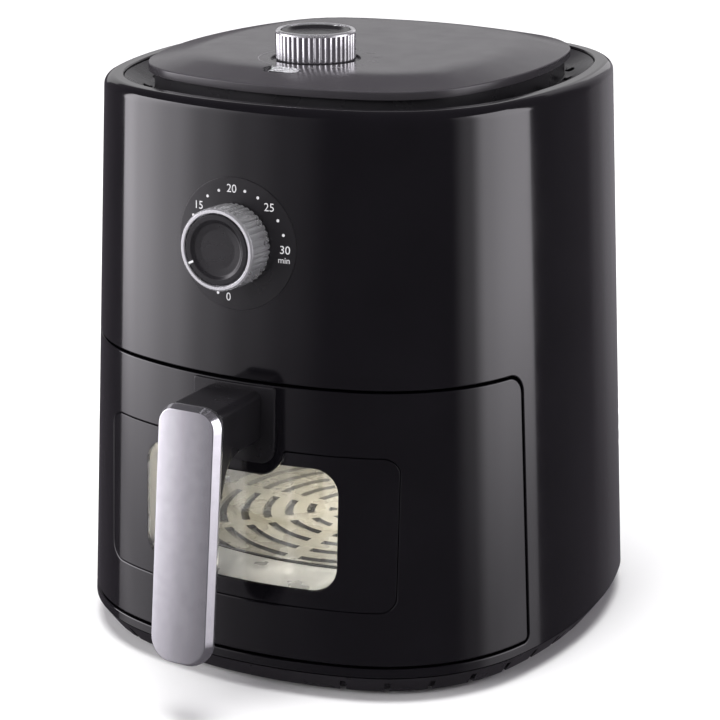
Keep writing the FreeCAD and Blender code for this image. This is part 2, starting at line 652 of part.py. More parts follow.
def timer_works():
    block = box("timer_block", "-22", "22", f"{FRONT_WALL_Y} + 5", f"{FRONT_WALL_Y} + 37",
                "timer_level - 22", "timer_level + 22")
    bore = place_timer(rod("timer_bore", "dial_shaft_radius + run_gap", "60"), "20")
    keep(cut("timer_block_cut", block, bore), "timer_body")
    bell = turned("bell_shape", [("0", "6"), ("17", "6"), ("17", "1"), ("18", "1"), ("18", "6.5"),
                                 ("15", "8.5"),
                                 ("3", "9"), ("0", "9")], "0", f"{FRONT_WALL_Y} + 37", "timer_level",
                                 (Vector(1, 0, 0), -90))
    post = rod("bell_post", "2.5", "6.2", "0", f"{FRONT_WALL_Y} + 37", "timer_level", ((1, 0, 0), -90))
    keep(fuse("bell_whole", bell, post), "timer_bell")


timer_works()

# ---------------------------------------------------------------- hot air head

DECK_TOP = "liner_top + deck_thick"
LAMP_X, LAMP_Y = "-82", "80"


def top_deck():
    plate = stack("deck_plate", ("liner_top", lean_in("liner_top", "shell_wall + 2.6")),
                  (DECK_TOP, lean_in(DECK_TOP, "shell_wall + 2.6")))
    return cut("deck_cut", plate, rod("deck_hole", "dome_radius", "20", z="liner_top - 9"),
               rod("deck_lamp_hole", "11.2", "20", LAMP_X, LAMP_Y, "liner_top - 9"))


keep(top_deck(), "top_deck")


def reflector_dome():
    shape = turned("dome_shape", [
        ("dome_radius", DECK_TOP), ("dome_radius + 7", DECK_TOP),
        ("dome_radius + 7", f"{DECK_TOP} + dome_wall"),
        ("dome_radius + 0.6", f"{DECK_TOP} + dome_wall"), ("dome_top_radius + 0.6", "dome_top"),
        ("shaft_radius + 3", "dome_top"), ("shaft_radius + 3", "dome_top - dome_wall"),
        ("dome_top_radius", "dome_top - dome_wall")])
    leads = [rod(f"dome_lead_hole_{i}", "coil_tube + 1", "60", "-coil_radius", f"{y}", "coil_level")
             for i, y in enumerate((-12, 12))]
    clips = [box(f"clip_{i}", x0, x1, y0, y1, "coil_level + coil_tube + 0.1", "coil_level + coil_tube + 1.3")
             for i, (x0, x1, y0, y1) in enumerate((
                 ("coil_inner_radius - 5", "coil_radius + 10.5", "-5", "5"),
                 ("-5", "5", "coil_inner_radius - 5", "coil_radius + 10.5"),
                 ("-5", "5", "-coil_radius - 10.5", "-coil_inner_radius + 5")))]
    return cut("dome_cut", fuse("dome_whole", shape, *clips), *leads)


keep(reflector_dome(), "reflector_dome")


def hoop(label, radius, tube, level, sides=12):
    """A ring of round bar, as a turned many-sided section."""
    section = []
    for i in range(sides):
        angle = 2 * math.pi * (i + 0.5) / sides
        section.append((f"({radius}) + ({tube}) * {math.cos(angle):.6f}",
                        f"({level}) + ({tube}) * {math.sin(angle):.6f}"))
    return turned(label, section)


def heating_element():
    rings = [hoop(f"coil_{i}", radius, "coil_tube", "coil_level")
             for i, radius in enumerate(("coil_radius", "coil_inner_radius"))]
    bridge = rod("coil_bridge", "coil_tube - 0.4", "coil_radius - coil_inner_radius", "coil_inner_radius",
                 "0",
                 "coil_level", ((0, 1, 0), 90))
    leads = [rod(f"coil_lead_{i}", "coil_tube - 0.4", "dome_top - coil_level + 6",
                 "-sqrt(coil_radius * coil_radius - 144)", f"{y}", "coil_level") for i,
                 y in enumerate((-12, 12))]
    return fuse("coil_whole", *rings, bridge, *leads)


keep(heating_element(), "heating_element")


def heater_guard():
    """Wire guard under the element that keeps food and fingers off it."""
    level = "liner_top + 0.8"
    rings = [hoop(f"guard_ring_{i}", radius, "1.1", level, 8)
             for i, radius in enumerate(("24", "46", "68", "dome_radius - 1.8"))]
    bars = [add("Part::Cylinder", f"guard_bar_{i}", f"-({reach}) * {math.cos(angle):.6f}",
                f"-({reach}) * {math.sin(angle):.6f}", level,
                ((-math.sin(angle), math.cos(angle), 0), 90), Radius="1.1", Height=f"2 * ({reach})")
            for i, (angle, reach) in enumerate((math.radians(turn), "dome_radius - 0.4") for turn in (0, 60,
                                                                                                      120))]
    return fuse("guard_whole", *rings, *bars)


keep(heater_guard(), "heater_guard")


def wheel(label, hub, radius, bottom, height, blades, disc_at):
    """A fan wheel: hub, straight radial blades and a carrier disc."""
    core = cut(f"{label}_hub", rod(f"{label}_hub_solid", hub, height, z=bottom),
               rod(f"{label}_hub_bore", "shaft_radius + 0.02", "60", z=f"({bottom}) - 20"))
    disc = cut(f"{label}_disc", rod(f"{label}_disc_solid", radius, "1", z=disc_at),
               rod(f"{label}_disc_bore", "shaft_radius + 0.02", "60", z=f"({bottom}) - 20"))
    vanes = []
    for i in range(blades):
        angle = 2 * math.pi * i / blades
        vanes.append(add("Part::Box", f"{label}_vane_{i}", turn=((0, 0, 1), math.degrees(angle) + 25),
                         x=f"({hub} - 1) * {math.cos(angle):.6f}", y=f"({hub} - 1) * {math.sin(angle):.6f}",
                         z=bottom, Length=f"({radius} - {hub}) * 0.94", Width="1", Height=height))
    return fuse(f"{label}_whole", core, disc, *vanes)


keep(wheel("fan", "10", "fan_radius", "fan_bottom", "fan_height", FAN_BLADES, "fan_bottom + fan_height - 1"),
     "convection_fan")
keep(wheel("cooler", "10", "cooling_radius", "cooling_bottom", "cooling_height", COOLING_BLADES,
           "cooling_bottom"),
     "cooling_fan")


def motor_bracket(name, face, plate, collar):
    """A round end plate with a collar that holds the bearing; both heights are measured from one face."""
    return turned(f"{name}_bracket_shape", [
        ("shaft_radius + 1", f"{face} + ({plate})"), ("motor_radius + 3", f"{face} + ({plate})"),
        ("motor_radius + 3", face), ("12", face), ("12", f"{face} + ({collar})"),
        ("9.02", f"{face} + ({collar})"), ("9.02", face), ("shaft_radius + 1", face)])


def motor():
    """Shaded-pole motor: shaft with its rotor, two bearings, the stator and two end plates."""
    rotor_low, rotor_high = "motor_bottom + 6", "motor_top - 6"
    keep(turned("rotor_shape", [
        ("0", "fan_bottom - 7"), ("shaft_radius", "fan_bottom - 7"), ("shaft_radius", rotor_low),
        ("17", rotor_low),
        ("17", rotor_high), ("shaft_radius", rotor_high),
        ("shaft_radius", "cooling_bottom + cooling_height + 2"),
        ("0", "cooling_bottom + cooling_height + 2")]), "motor_shaft")
    keep(turned("nut_shape", [("shaft_radius + 0.02", "fan_bottom - 5"), ("8", "fan_bottom - 5"),
                              ("8", "fan_bottom"), ("shaft_radius + 0.02", "fan_bottom")]), "fan_nut")
    bearings = [turned(f"bearing_{i}", [("shaft_radius + run_gap", low), ("9", low), ("9", f"{low} + 4"),
                                        ("shaft_radius + run_gap", f"{low} + 4")])
                for i, low in enumerate(("motor_bottom", "motor_top - 4"))]
    keep(group("bearings_shape", *bearings), "motor_bearings")
    core = cut("stator_core", rod("stator_round", "motor_radius", f"({rotor_high}) - ({rotor_low})",
                                  z=rotor_low),
               rod("stator_bore", "17.6", "60", z="motor_bottom"))
    sides = [box(f"stator_flat_{i}", x0, x1, "-60", "60", "motor_bottom", "motor_top")
             for i, (x0, x1) in enumerate((("-60", "-motor_radius + 7"), ("motor_radius - 7", "60")))]
    keep(cut("stator_cut", core, *sides), "motor_stator")
    legs = [rod(f"motor_leg_{i}", "4", "motor_bottom - 2 - dome_top",
                f"34 * {math.cos(angle):.6f}", f"34 * {math.sin(angle):.6f}", "dome_top")
            for i, angle in enumerate(math.radians(turn) for turn in (45, 135, 225, 315))]
    keep(fuse("motor_base_whole", motor_bracket("lower", "motor_bottom", "-2", "4"), *legs),
         "motor_lower_bracket")
    keep(motor_bracket("upper", "motor_top", "2", "-4"), "motor_upper_bracket")


motor()


def chamber_fittings():
    """Oven lamp in the ceiling of the bay, thermostat bulb, thermal fuse and element clips."""
    lens = turned("lamp_lens_shape", [("0", "liner_top - 2"), ("9", "liner_top - 2"), ("11", "liner_top"),
                                      ("11", f"{DECK_TOP}"), ("0", f"{DECK_TOP}")], LAMP_X, LAMP_Y, "0")
    keep(lens, "lamp_lens")
    bulb = turned("lamp_bulb_shape", [("0", "0.6"), ("5", "0.6"), ("7.5", "4"), ("7.5", "10"), ("4.5", "16"),
                                      ("4.5", "22"), ("0", "22")], LAMP_X, LAMP_Y, DECK_TOP)
    keep(bulb, "lamp_bulb")
    holder = turned("lamp_holder_shape", [("4.6", "16.2"), ("8.6", "16.2"), ("8.6", "26"), ("0", "26"),
                                          ("0", "22.1"),
                                          ("4.6", "22.1")], LAMP_X, LAMP_Y, DECK_TOP)
    shade = turned("lamp_shade_shape", [("12.2", "0"), ("14", "0"), ("14", "1"), ("13", "1"), ("9", "20"),
                                        ("8", "20"),
                                        ("12.2", "1")], LAMP_X, LAMP_Y, DECK_TOP)
    keep(fuse("lamp_holder_whole", holder, shade), "lamp_holder")
    keep(rod("sensor_shape", "2.4", "46", "-23", "82", "liner_top + 4.7", ((0, 1, 0), 90)),
         "temperature_sensor")
    keep(rod("thermal_fuse_shape", "3", "22", "30", "-11", "dome_top + 3", ((1, 0, 0), -90)), "thermal_fuse")


chamber_fittings()


# ---------------------------------------------------------------- frying bay


def chamber_liner():
    """Sheet-metal bay round the pot, open at the front."""
    outside = stack("liner_outside", ("liner_bottom", "liner_inset"), ("liner_top", "liner_inset"))
    inside = stack("liner_inside", ("liner_bottom + liner_wall", "liner_inset + liner_wall"),
                   ("liner_top + 1", "liner_inset + liner_wall"))
    mouth = box("liner_mouth", "-200", "200", "-200", "-panel_side + seam + 1", "liner_bottom - 1",
                "liner_top + 2")
    switch_hole = rod("liner_switch_hole", "3", "40", "0", "body_half_depth - 40", "pot_top - 12",
                      ((1, 0, 0), -90))
    return cut("liner_cut", outside, inside, mouth, switch_hole)


keep(chamber_liner(), "chamber_liner")
keep(group("rails_shape", *[
    box(f"rail_{i}", f"{side} * rail_place - rail_half_width", f"{side} * rail_place + rail_half_width",
        "-panel_side + seam + 2", "body_half_depth - 70", "liner_bottom + liner_wall",
        "pot_bottom - rail_gap")
    for i, side in enumerate((-1, 1))]), "drawer_rails")
keep(box("terminal_shape", "-20", "20", "body_half_depth - 52", "body_half_depth - 34",
         "foot_height + floor_thick", "foot_height + floor_thick + 12"), "terminal_block")

SWITCH_Z = "pot_top - 12"
POT_SLOPE = "(pot_inset_bottom - pot_inset_top) / (pot_top - pot_bottom)"


def pot_inset(level):
    return f"pot_inset_bottom - (({level}) - pot_bottom) * {POT_SLOPE}"


POT_BACK_Y = f"body_half_depth - ({pot_inset(SWITCH_Z)})"


def drawer_switch():
    """Safety switch behind the bay; its plunger feels the back of the pot."""
    face = "body_half_depth - liner_inset + 0.2"
    block = box("switch_block", "-10", "10", face, f"{face} + 8.4", f"{SWITCH_Z} - 7", f"{SWITCH_Z} + 7")
    bore = rod("switch_bore", "2.06", "6.4", "0", f"{face} - 0.2", SWITCH_Z, ((1, 0, 0), -90))
    keep(cut("switch_cut", block, bore), "switch_body")
    keep(rod("plunger_shape", "2", f"({face}) + 3 - ({POT_BACK_Y}) - 0.6", "0", f"({POT_BACK_Y}) + 0.6",
             SWITCH_Z,
             ((1, 0, 0), -90)), "switch_plunger")


drawer_switch()

# ---------------------------------------------------------------- drawer


def front_prism(label, sketch):
    return extrude(label, sketch, "80")


def notch(label, margin):
    return front_prism(label, rounded(f"{label}_face", f"-(notch_half_width + ({margin}))",
                                      f"notch_half_width + ({margin})", f"notch_bottom - ({margin})", "200",
                                      f"notch_round + ({margin})", "2", y="-prism_start"))


def window_prism(label, margin):
    face = rounded(f"{label}_face", f"-(window_half_width + ({margin}))", f"window_half_width + ({margin})",
                   f"window_bottom - ({margin})", f"window_top + ({margin})", f"window_round + ({margin})",
                   f"window_round + ({margin})", y="-prism_start")
    return cut(label, front_prism(f"{label}_block", face), notch(f"{label}_notch", f"-({margin})"))


def clear_prism(label, margin):
    face = rounded(f"{label}_face", f"-(clear_half_width + ({margin}))", f"clear_half_width + ({margin})",
                   f"clear_bottom - ({margin})", f"clear_top + ({margin})", f"clear_round + ({margin})",
                   f"clear_round + ({margin})", y="-prism_start")
    return front_prism(label, face)


def screw_holes(label):
    """Clearance holes for the two screws that hold the handle."""
    return [rod(f"{label}_{i}", "screw_radius + screw_play", "60", x, "-body_half_depth - 38",
                "mount_bottom + mount_screw_rise", ((1, 0, 0), -90))
            for i, x in enumerate(("-mount_screw_spread", "mount_screw_spread"))]


def pot_screw_holes(label):
    """Clearance holes for the two screws that hold the pot."""
    return [rod(f"{label}_{i}", "screw_radius + screw_play", "60", x, "-body_half_depth + 10",
                "pot_bottom + pot_screw_rise", ((1, 0, 0), -90))
            for i, x in enumerate(("-pot_screw_spread", "pot_screw_spread"))]


def front_panel():
    shell = common("panel_shell", skin("panel_skin", "panel_bottom", "panel_top", "0", "panel_wall"),
                   drawer_prism("panel_side_view", "0"))
    return cut("panel_cut", shell, window_prism("panel_window", "0"), *screw_holes("panel_hole"))


keep(front_panel(), "drawer_front_panel")
keep(common("glass_shape", skin("glass_skin", "window_bottom - 2", "window_top + 2", "0.1", "panel_wall"),
            window_prism("glass_prism", "-glass_gap")), "window_glass_outer")
keep(cut("mask_shape", common("mask_band",
                              skin("mask_skin", "window_bottom - 2", "window_top + 2", "panel_wall",
                                                "panel_wall + mask_thick"),
                              window_prism("mask_prism", "-glass_gap")), clear_prism("mask_hole", "0")),
                              "window_mask")


def inner_panel():
    depth = "panel_wall + mask_thick + 0.1"
    ring = common("inner_panel_shell",
                  skin("inner_panel_skin", "panel_bottom + 3", "panel_top - 3", depth, f"{depth} + 2"),
                  box("inner_panel_front", "-300", "300", "-300", "-panel_side - 4", "0", "400"))
    return cut("inner_panel_cut", ring, clear_prism("inner_panel_hole", "2"),
               *screw_holes("inner_panel_screw"))


keep(inner_panel(), "drawer_inner_panel")
INNER_DEPTH = "panel_wall + mask_thick + 2.2"


def pot_plug(label, extra):
    return stack(label, ("pot_bottom", f"pot_inset_bottom + ({extra})"),
                 ("pot_top", f"pot_inset_top + ({extra})"))


def pot_skin(label, outer, inner):
    """A shell between two depths inside the pot's outer surface, open above and below."""
    low, high = "pot_bottom - 10", "pot_top + 10"
    return cut(label, stack(f"{label}_out", ("pot_bottom", f"pot_inset_bottom + ({outer})"),
                            ("pot_top", f"pot_inset_top + ({outer})")),
               stack(f"{label}_in", (low, f"{pot_inset(low)} + ({inner})"),
                     (high, f"{pot_inset(high)} + ({inner})")))


def pot():
    hollow = stack("pot_hollow", ("pot_bottom + pot_wall",
                                  f"{pot_inset('pot_bottom + pot_wall')} + pot_wall"),
                   ("pot_top + 1", f"{pot_inset('pot_top + 1')} + pot_wall"))
    lip = cut("pot_lip", stack("pot_lip_outside", ("pot_top - 1.6", "pot_inset_top - 5"),
                               ("pot_top", "pot_inset_top - 5")),
              stack("pot_lip_inside", ("pot_top - 5", "pot_inset_top + 1"),
                    ("pot_top + 1", "pot_inset_top + 1")))
    return cut("pot_cut", fuse("pot_whole", pot_plug("pot_body", "0"), lip), hollow,
               clear_prism("pot_window", "1.5"), *pot_screw_holes("pot_hole"))


keep(pot(), "pot")
keep(common("inner_glass_shape", pot_skin("inner_glass_skin", "0.1", "3"),
            clear_prism("inner_glass_prism", "1.2")),
     "window_glass_inner")
keep(cut("gasket_shape", common("gasket_band", pot_skin("gasket_skin", "pot_wall + 0.02", "3"),
                                clear_prism("gasket_outer", "6")), clear_prism("gasket_hole", "1.4")),
                                "window_gasket")


def between(label, block):
    """What is left of a block between the drawer's inner panel and the pot."""
    front = leaning(f"{label}_front", "panel_bottom + 3", "panel_top - 3", INNER_DEPTH)
    return cut(label, common(f"{label}_blank", block, front), pot_plug(f"{label}_pot", "-0.02"))


def reach_box(label, x0, x1, z0, z1):
    return box(label, x0, x1, "-body_half_depth - 26", "-body_half_depth + 70", z0, z1)


keep(between("tunnel_shape", cut("tunnel_tube", clear_prism("tunnel_outer", "4.5"),
                                 clear_prism("tunnel_inner", "2"))),
     "window_tunnel")
keep(cut("bracket_cut", between("bracket_shape", reach_box("bracket_block", "-36", "36",
                                                           "pot_bottom + 3", "pot_bottom + 19")),
         *pot_screw_holes("bracket_hole")), "pot_bracket")


def on_handle(thing, behind="0"):
    """Places a piece drawn flat in XY onto the leaning face of the handle."""
    thing.Placement = FreeCAD.Placement(Vector(0, 0, 0), Rotation(Vector(1, 0, 0), 90))
    return bind(thing, x="0", y=f"-handle_reach + ({behind}) * cos(handle_lean * 1 deg)",
                z=f"handle_top - ({behind}) * sin(handle_lean * 1 deg)",
                **{"Placement.Rotation.Angle": "90 - handle_lean"})


HANDLE_LENGTH = "(handle_top - handle_bottom) / cos(handle_lean * 1 deg)"


def handle_face():
    """Flat silver bar with bevelled edges, seen from the front."""
    sections = []
    for i, (height, margin) in enumerate((("-face_thick", "0"), ("-face_bevel", "0"), ("0", "face_bevel"))):
        sections.append(rounded(f"face_{i}", f"-face_half_width + {margin}", f"face_half_width - {margin}",
                                f"-({HANDLE_LENGTH}) + {margin}", f"-({margin})",
                                f"face_round_bottom - {margin}",
                                f"face_round_top - {margin}", None, z=height))
    return on_handle(loft("face_shape", sections))


keep(handle_face(), "handle_face_plate")


def face_back(level, gap):
    """Where the back of the face plate is at a level."""
    return (f"-handle_reach - (handle_top - ({level})) * tan(handle_lean * 1 deg)"
            f" + (face_thick + {gap}) / cos(handle_lean * 1 deg)")


def handle_arm():
    """Black arm from the drawer front, and the grip core behind the face plate."""
    top, low = "handle_top - 2.5", "handle_top - 48"
    bottom = f"{top} - arm_deep"
    side = polygon("arm_side", [
        ("-body_half_depth + 20", top), ("-body_half_depth + 20", bottom), ("-body_half_depth - 20", bottom),
        ("-body_half_depth - 27.5", f"{bottom} - 7.5"), ("-body_half_depth - 30.5", low),
        (face_back(low, "0.05"), low), (face_back(top, "0.05"), top)])
    arm = extrude("arm_block", side, "2 * arm_half_width", both=True)
    grip_face = rounded("grip_face", "-grip_half_width", "grip_half_width", f"-({HANDLE_LENGTH}) + 4", "-2.6",
                        "9", "3", None)
    grip = on_handle(extrude("grip_block", grip_face, "grip_deep"), "face_thick + grip_deep + 0.05")
    return cut("arm_cut", fuse("arm_whole", arm, grip),
               leaning("arm_panel", "panel_bottom", "panel_top + 20", "-mount_thick - 0.02"),
               *screw_holes("arm_screw"))


keep(handle_arm(), "handle_arm")


def handle_mount():
    face = front_prism("mount_face_prism",
                       rounded("mount_face", "-mount_half_width", "mount_half_width", "mount_bottom",
                                                   "handle_top", "mount_round", "2", y="-prism_start"))
    band = skin("mount_skin", "mount_bottom - 4", "panel_top", "-mount_thick", "-0.02")
    return cut("mount_cut", common("mount_band", band, face), *screw_holes("mount_screw"))


keep(handle_mount(), "handle_mount_plate")
HANDLE_SCREW_Z = "mount_bottom + mount_screw_rise"
HANDLE_SCREW_Y = f"-(body_half_depth - ({HANDLE_SCREW_Z}) * tan(lean * 1 deg) - ({INNER_DEPTH})) + 0.7"
POT_SCREW_Z = "pot_bottom + pot_screw_rise"
POT_SCREW_Y = f"-(body_half_depth - ({pot_inset(POT_SCREW_Z)})) + 3"
keep(group("drawer_screws_shape",
           *[screw(f"handle_screw_{i}", f"{side} * mount_screw_spread", HANDLE_SCREW_Y, HANDLE_SCREW_Z, "26",
                   (Vector(1, 0, 0), 90)) for i, side in enumerate((-1, 1))],
           *[screw(f"pot_screw_{i}", f"{side} * pot_screw_spread", POT_SCREW_Y, POT_SCREW_Z, "14",
                   (Vector(1, 0, 0), 90)) for i, side in enumerate((-1, 1))]), "drawer_screws")


# ---------------------------------------------------------------- crisper plate


def crisper():
    """Removable plate that lifts food off the pot floor: rings of slots between ribs, on four legs."""
    top = "crisper_level + crisper_thick"
    edge = f"{pot_inset('crisper_level')} + pot_wall + crisper_clear"
    plate = stack("crisper_blank", ("crisper_level", edge), (top, edge))
    rings = [cut(f"crisper_ring_{i}", rod(f"crisper_big_{i}", f"{radius + 2.2}", "9", z="crisper_level - 3"),
                 rod(f"crisper_small_{i}", f"{radius - 2.2}", "9", z="crisper_level - 3"))
             for i, radius in enumerate(range(16, 90, 12))]
    ribs = [add("Part::Box", f"crisper_rib_{i}",
                x=f"-100 * {math.cos(angle):.6f} + 4 * {math.sin(angle):.6f}",
                y=f"-100 * {math.sin(angle):.6f} - 4 * {math.cos(angle):.6f}", z="crisper_level - 4",
                turn=((0, 0, 1), math.degrees(angle)), Length="200", Width="8", Height="12")
            for i, angle in enumerate(math.radians(turn) for turn in (0, 45, 90, 135))]
    slots = cut("crisper_slots", group("crisper_rings", *rings), *ribs)
    legs = [rod(f"crisper_leg_{i}", "3", "crisper_level - pot_bottom - pot_wall", f"{sx} * 58", f"{sy} * 58",
                "pot_bottom + pot_wall") for i, (sx, sy) in enumerate(((1, 1), (-1, 1), (-1, -1), (1, -1)))]
    keep(fuse("crisper_whole", cut("crisper_cut", plate, slots), *legs), "crisper_plate")
    low, high = "crisper_level - 2", f"{top} + 2"
    reach_x, reach_y = f"body_half_width - ({edge})", f"body_half_depth - ({edge})"
    pads = [box("pad_right", reach_x, f"{reach_x} + 3.2", "-7", "7", low, high),
            box("pad_left", f"-({reach_x}) - 3.2", f"-({reach_x})", "-7", "7", low, high),
            box("pad_back", "-7", "7", reach_y, f"{reach_y} + 3.2", low, high),
            box("pad_front", "-7", "7", f"-({reach_y}) - 3.2", f"-({reach_y})", low, high)]
    keep(group("pads_shape", *pads), "crisper_bumpers")


crisper()


# ---------------------------------------------------------------- checks and files


def write_parts():
    document.recompute()
    broken = [thing.Label for thing in document.Objects if {"Invalid", "Error"} & set(thing.State)]
    if broken:
        raise RuntimeError(f"failed objects: {broken}")
    os.makedirs("parts", exist_ok=True)
    for thing in NODES:
        if thing.Shape.isNull() or not thing.Shape.isValid() or not thing.Shape.Solids:
            raise RuntimeError(f"{thing.Label} has no valid solid")
        thing.Shape.exportStep(f"parts/{thing.Label}.step")
        bounds = thing.Shape.BoundBox
        print(f"{thing.Label:24s} {len(thing.Shape.Solids):3d} solids {thing.Shape.Volume:12.1f} mm3 "
              f"z {bounds.ZMin:7.2f} to {bounds.ZMax:7.2f}")


write_parts()
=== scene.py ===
"""Visual model of a countertop air fryer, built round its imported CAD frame.

Lengths are millimetres while a shape is worked out, and become metres where a mesh is made.
The casing is one plan outline of eight tangent arcs that leans inwards towards the top, so every
piece of its skin is drawn flat, as distance along the outline and height, and wrapped onto it.
"""
import json
import math

import bpy
import numpy as np
from mathutils import Matrix, Vector
from mathutils.geometry import delaunay_2d_cdt

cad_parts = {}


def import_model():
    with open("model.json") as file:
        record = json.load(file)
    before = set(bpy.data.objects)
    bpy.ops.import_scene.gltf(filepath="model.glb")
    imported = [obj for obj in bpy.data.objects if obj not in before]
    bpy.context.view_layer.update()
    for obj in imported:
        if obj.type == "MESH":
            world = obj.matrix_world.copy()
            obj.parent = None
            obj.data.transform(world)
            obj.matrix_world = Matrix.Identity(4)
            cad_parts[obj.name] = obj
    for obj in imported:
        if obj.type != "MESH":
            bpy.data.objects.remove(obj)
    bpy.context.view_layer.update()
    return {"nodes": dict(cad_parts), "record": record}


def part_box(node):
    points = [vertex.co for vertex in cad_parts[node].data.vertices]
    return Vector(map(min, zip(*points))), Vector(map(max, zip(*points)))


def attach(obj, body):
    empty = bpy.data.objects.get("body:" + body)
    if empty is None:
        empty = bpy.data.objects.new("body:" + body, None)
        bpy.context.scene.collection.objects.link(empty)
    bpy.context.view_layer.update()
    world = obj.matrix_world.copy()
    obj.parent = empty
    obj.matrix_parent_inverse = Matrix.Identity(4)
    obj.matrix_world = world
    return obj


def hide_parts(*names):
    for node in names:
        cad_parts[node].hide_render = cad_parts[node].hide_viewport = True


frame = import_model()
MM = 0.001

# driving sizes of the casing, as in the CAD model
HALF_WIDTH, HALF_DEPTH = 135.0, 140.0
FRONT_ARC, SIDE_ARC, CORNER_ARC = 217.1, 244.5, 93.0
LEAN = math.radians(2.65)
SHELL_LOW, SHELL_TOP = (corner.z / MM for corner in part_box("outer_shell"))
SHELL_WALL = 2.6
SEAM = 1.3
PANEL_LOW, PANEL_TOP = (corner.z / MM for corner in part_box("drawer_front_panel"))
PANEL_SIDE = 60.0
DECK_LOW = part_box("top_deck")[0].z / MM
RIM_ROUND, RIM_WIDTH, RIM_THICK = 5.5, 9.8, 6.0
PLATE_LOW, PLATE_FLAT = (corner.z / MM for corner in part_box("top_plate"))
PLATE_EDGE_Z, PLATE_EDGE_INSET, PLATE_FLAT_INSET = 298.4, 35.9, 59.0
PLATE_BLEND, PLATE_WALL, PLATE_ROUND = 6.0, 2.6, 1.6
DIAL_Y = -49.5
LAMP_Y = -83.5
TIMER_Z = 225.8
FLUTES = 40

# ---------------------------------------------------------------- the casing's outline


def make_outline():
    """Start angle, radius and centre of each arc, in the order of the normal's angle from the front."""
    side_x, front_y = HALF_WIDTH - SIDE_ARC, HALF_DEPTH - FRONT_ARC
    apart = math.hypot(side_x, front_y)
    near, far = FRONT_ARC - CORNER_ARC, SIDE_ARC - CORNER_ARC
    along = (near ** 2 - far ** 2 + apart ** 2) / (2 * apart)
    off = math.sqrt(near ** 2 - along ** 2)
    corner_x = (along * side_x - off * front_y) / apart
    corner_y = front_y + (-along * front_y - off * side_x) / apart
    side_end = math.atan2(corner_y, corner_x - side_x)
    front_end = math.pi / 2 - math.atan2(corner_x, corner_y - front_y)
    turn = math.pi
    return [(-turn / 2, FRONT_ARC, (0, -front_y)), (-front_end, CORNER_ARC, (corner_x, -corner_y)),
            (-side_end, SIDE_ARC, (side_x, 0)), (side_end, CORNER_ARC, (corner_x, corner_y)),
            (front_end, FRONT_ARC, (0, front_y)), (turn - front_end, CORNER_ARC, (-corner_x, corner_y)),
            (turn - side_end, SIDE_ARC, (-side_x, 0)), (turn + side_end, CORNER_ARC, (-corner_x, -corner_y)),
            (turn + front_end, FRONT_ARC, (0, -front_y))]


OUTLINE = make_outline()
ARC_START = np.array([arc[0] for arc in OUTLINE] + [1.5 * math.pi])
ARC_RADIUS = np.array([arc[1] for arc in OUTLINE])
ARC_CENTRE = np.array([arc[2] for arc in OUTLINE])
ARC_PATH = np.concatenate([[0], np.cumsum(np.diff(ARC_START) * ARC_RADIUS)])
ROUND = ARC_PATH[-1]


def on_outline(path):
    """Normal angle, radius and centre of the outline at a distance along it from the front's middle."""
    path = np.mod(np.asarray(path, float), ROUND)
    arc = np.clip(np.searchsorted(ARC_PATH, path, side="right") - 1, 0, len(OUTLINE) - 1)
    return ARC_START[arc] + (path - ARC_PATH[arc]) / ARC_RADIUS[arc], ARC_RADIUS[arc], ARC_CENTRE[arc]


def in_plan(path, inset):
    """Plan points at a distance along the outline and inside it."""
    angle, radius, centre = on_outline(path)
    reach = radius - inset
    return np.column_stack([centre[:, 0] + reach * np.cos(angle), centre[:, 1] + reach * np.sin(angle)])


def facing_out(angle, out, up):
    """Directions towards an angle in plan, with an outward and an upward share."""
    return np.column_stack([np.cos(angle) * out, np.sin(angle) * out, np.broadcast_to(up, len(angle))])


def under_outline(flat):
    """How far plan points are inside the base outline, and the outline's normal angle there."""
    x, y = flat[:, 0], flat[:, 1]
    inset, facing = np.full(len(x), HALF_DEPTH), np.zeros(len(x))
    for start, end, radius, centre in zip(ARC_START[:-1], ARC_START[1:], ARC_RADIUS, ARC_CENTRE):
        angle = np.arctan2(y - centre[1], x - centre[0])
        angle = np.where(angle < -math.pi / 2, angle + 2 * math.pi, angle)
        here = radius - np.hypot(x - centre[0], y - centre[1])
        nearer = (angle >= start - 1e-6) & (angle <= end + 1e-6) & (here < inset)
        inset = np.where(nearer, here, inset)
        facing = np.where(nearer, angle, facing)
    return inset, facing


class Skin:
    """A surface round the outline whose inset changes evenly with height."""

    def __init__(self, slope=math.tan(LEAN), inset=0.0):
        self.slope = slope
        self.inset = inset

    def points(self, flat, depth=0.0):
        path, height = flat[:, 0], flat[:, 1]
        return np.column_stack([in_plan(path, self.inset + self.slope * height + depth), height])

    def normals(self, flat):
        length = math.hypot(1, self.slope)
        return facing_out(on_outline(flat[:, 0])[0], 1 / length, self.slope / length)

    def directions(self, flat, vectors):
        """Flat directions turned into directions along the surface."""
        angle = on_outline(flat[:, 0])[0]
        along = np.column_stack([-np.sin(angle), np.cos(angle), np.zeros(len(flat))])
        up = facing_out(angle, -self.slope, 1.0) / math.hypot(1, self.slope)
        return along * vectors[:, :1] + up * vectors[:, 1:]

    def path_at(self, axis, target, height, low, high):
        """Distance along the outline where x (axis 0) or y (axis 1) reaches a value.

        The value rises from the path 'low' to the path 'high'."""
        target = np.broadcast_to(np.asarray(target, float), np.shape(height)).astype(float)
        height = np.asarray(height, float)
        low, high = np.full(height.shape, float(low)), np.full(height.shape, float(high))
        for _ in range(40):
            middle = (low + high) / 2
            below = self.points(np.column_stack([middle, height]))[:, axis] < target
            low, high = np.where(below, middle, low), np.where(below, high, middle)
        return (low + high) / 2

    def from_front(self, loop):
        """A loop of x and z in the front view, as path and height."""
        path = self.path_at(0, loop[:, 0], loop[:, 1], -ROUND / 4, ROUND / 4)
        return np.column_stack([path, loop[:, 1]])

    def side_path(self, y, height):
        """Path on the right side where the skin is at y."""
        return float(self.path_at(1, [y], [height], 0, ROUND / 2)[0])


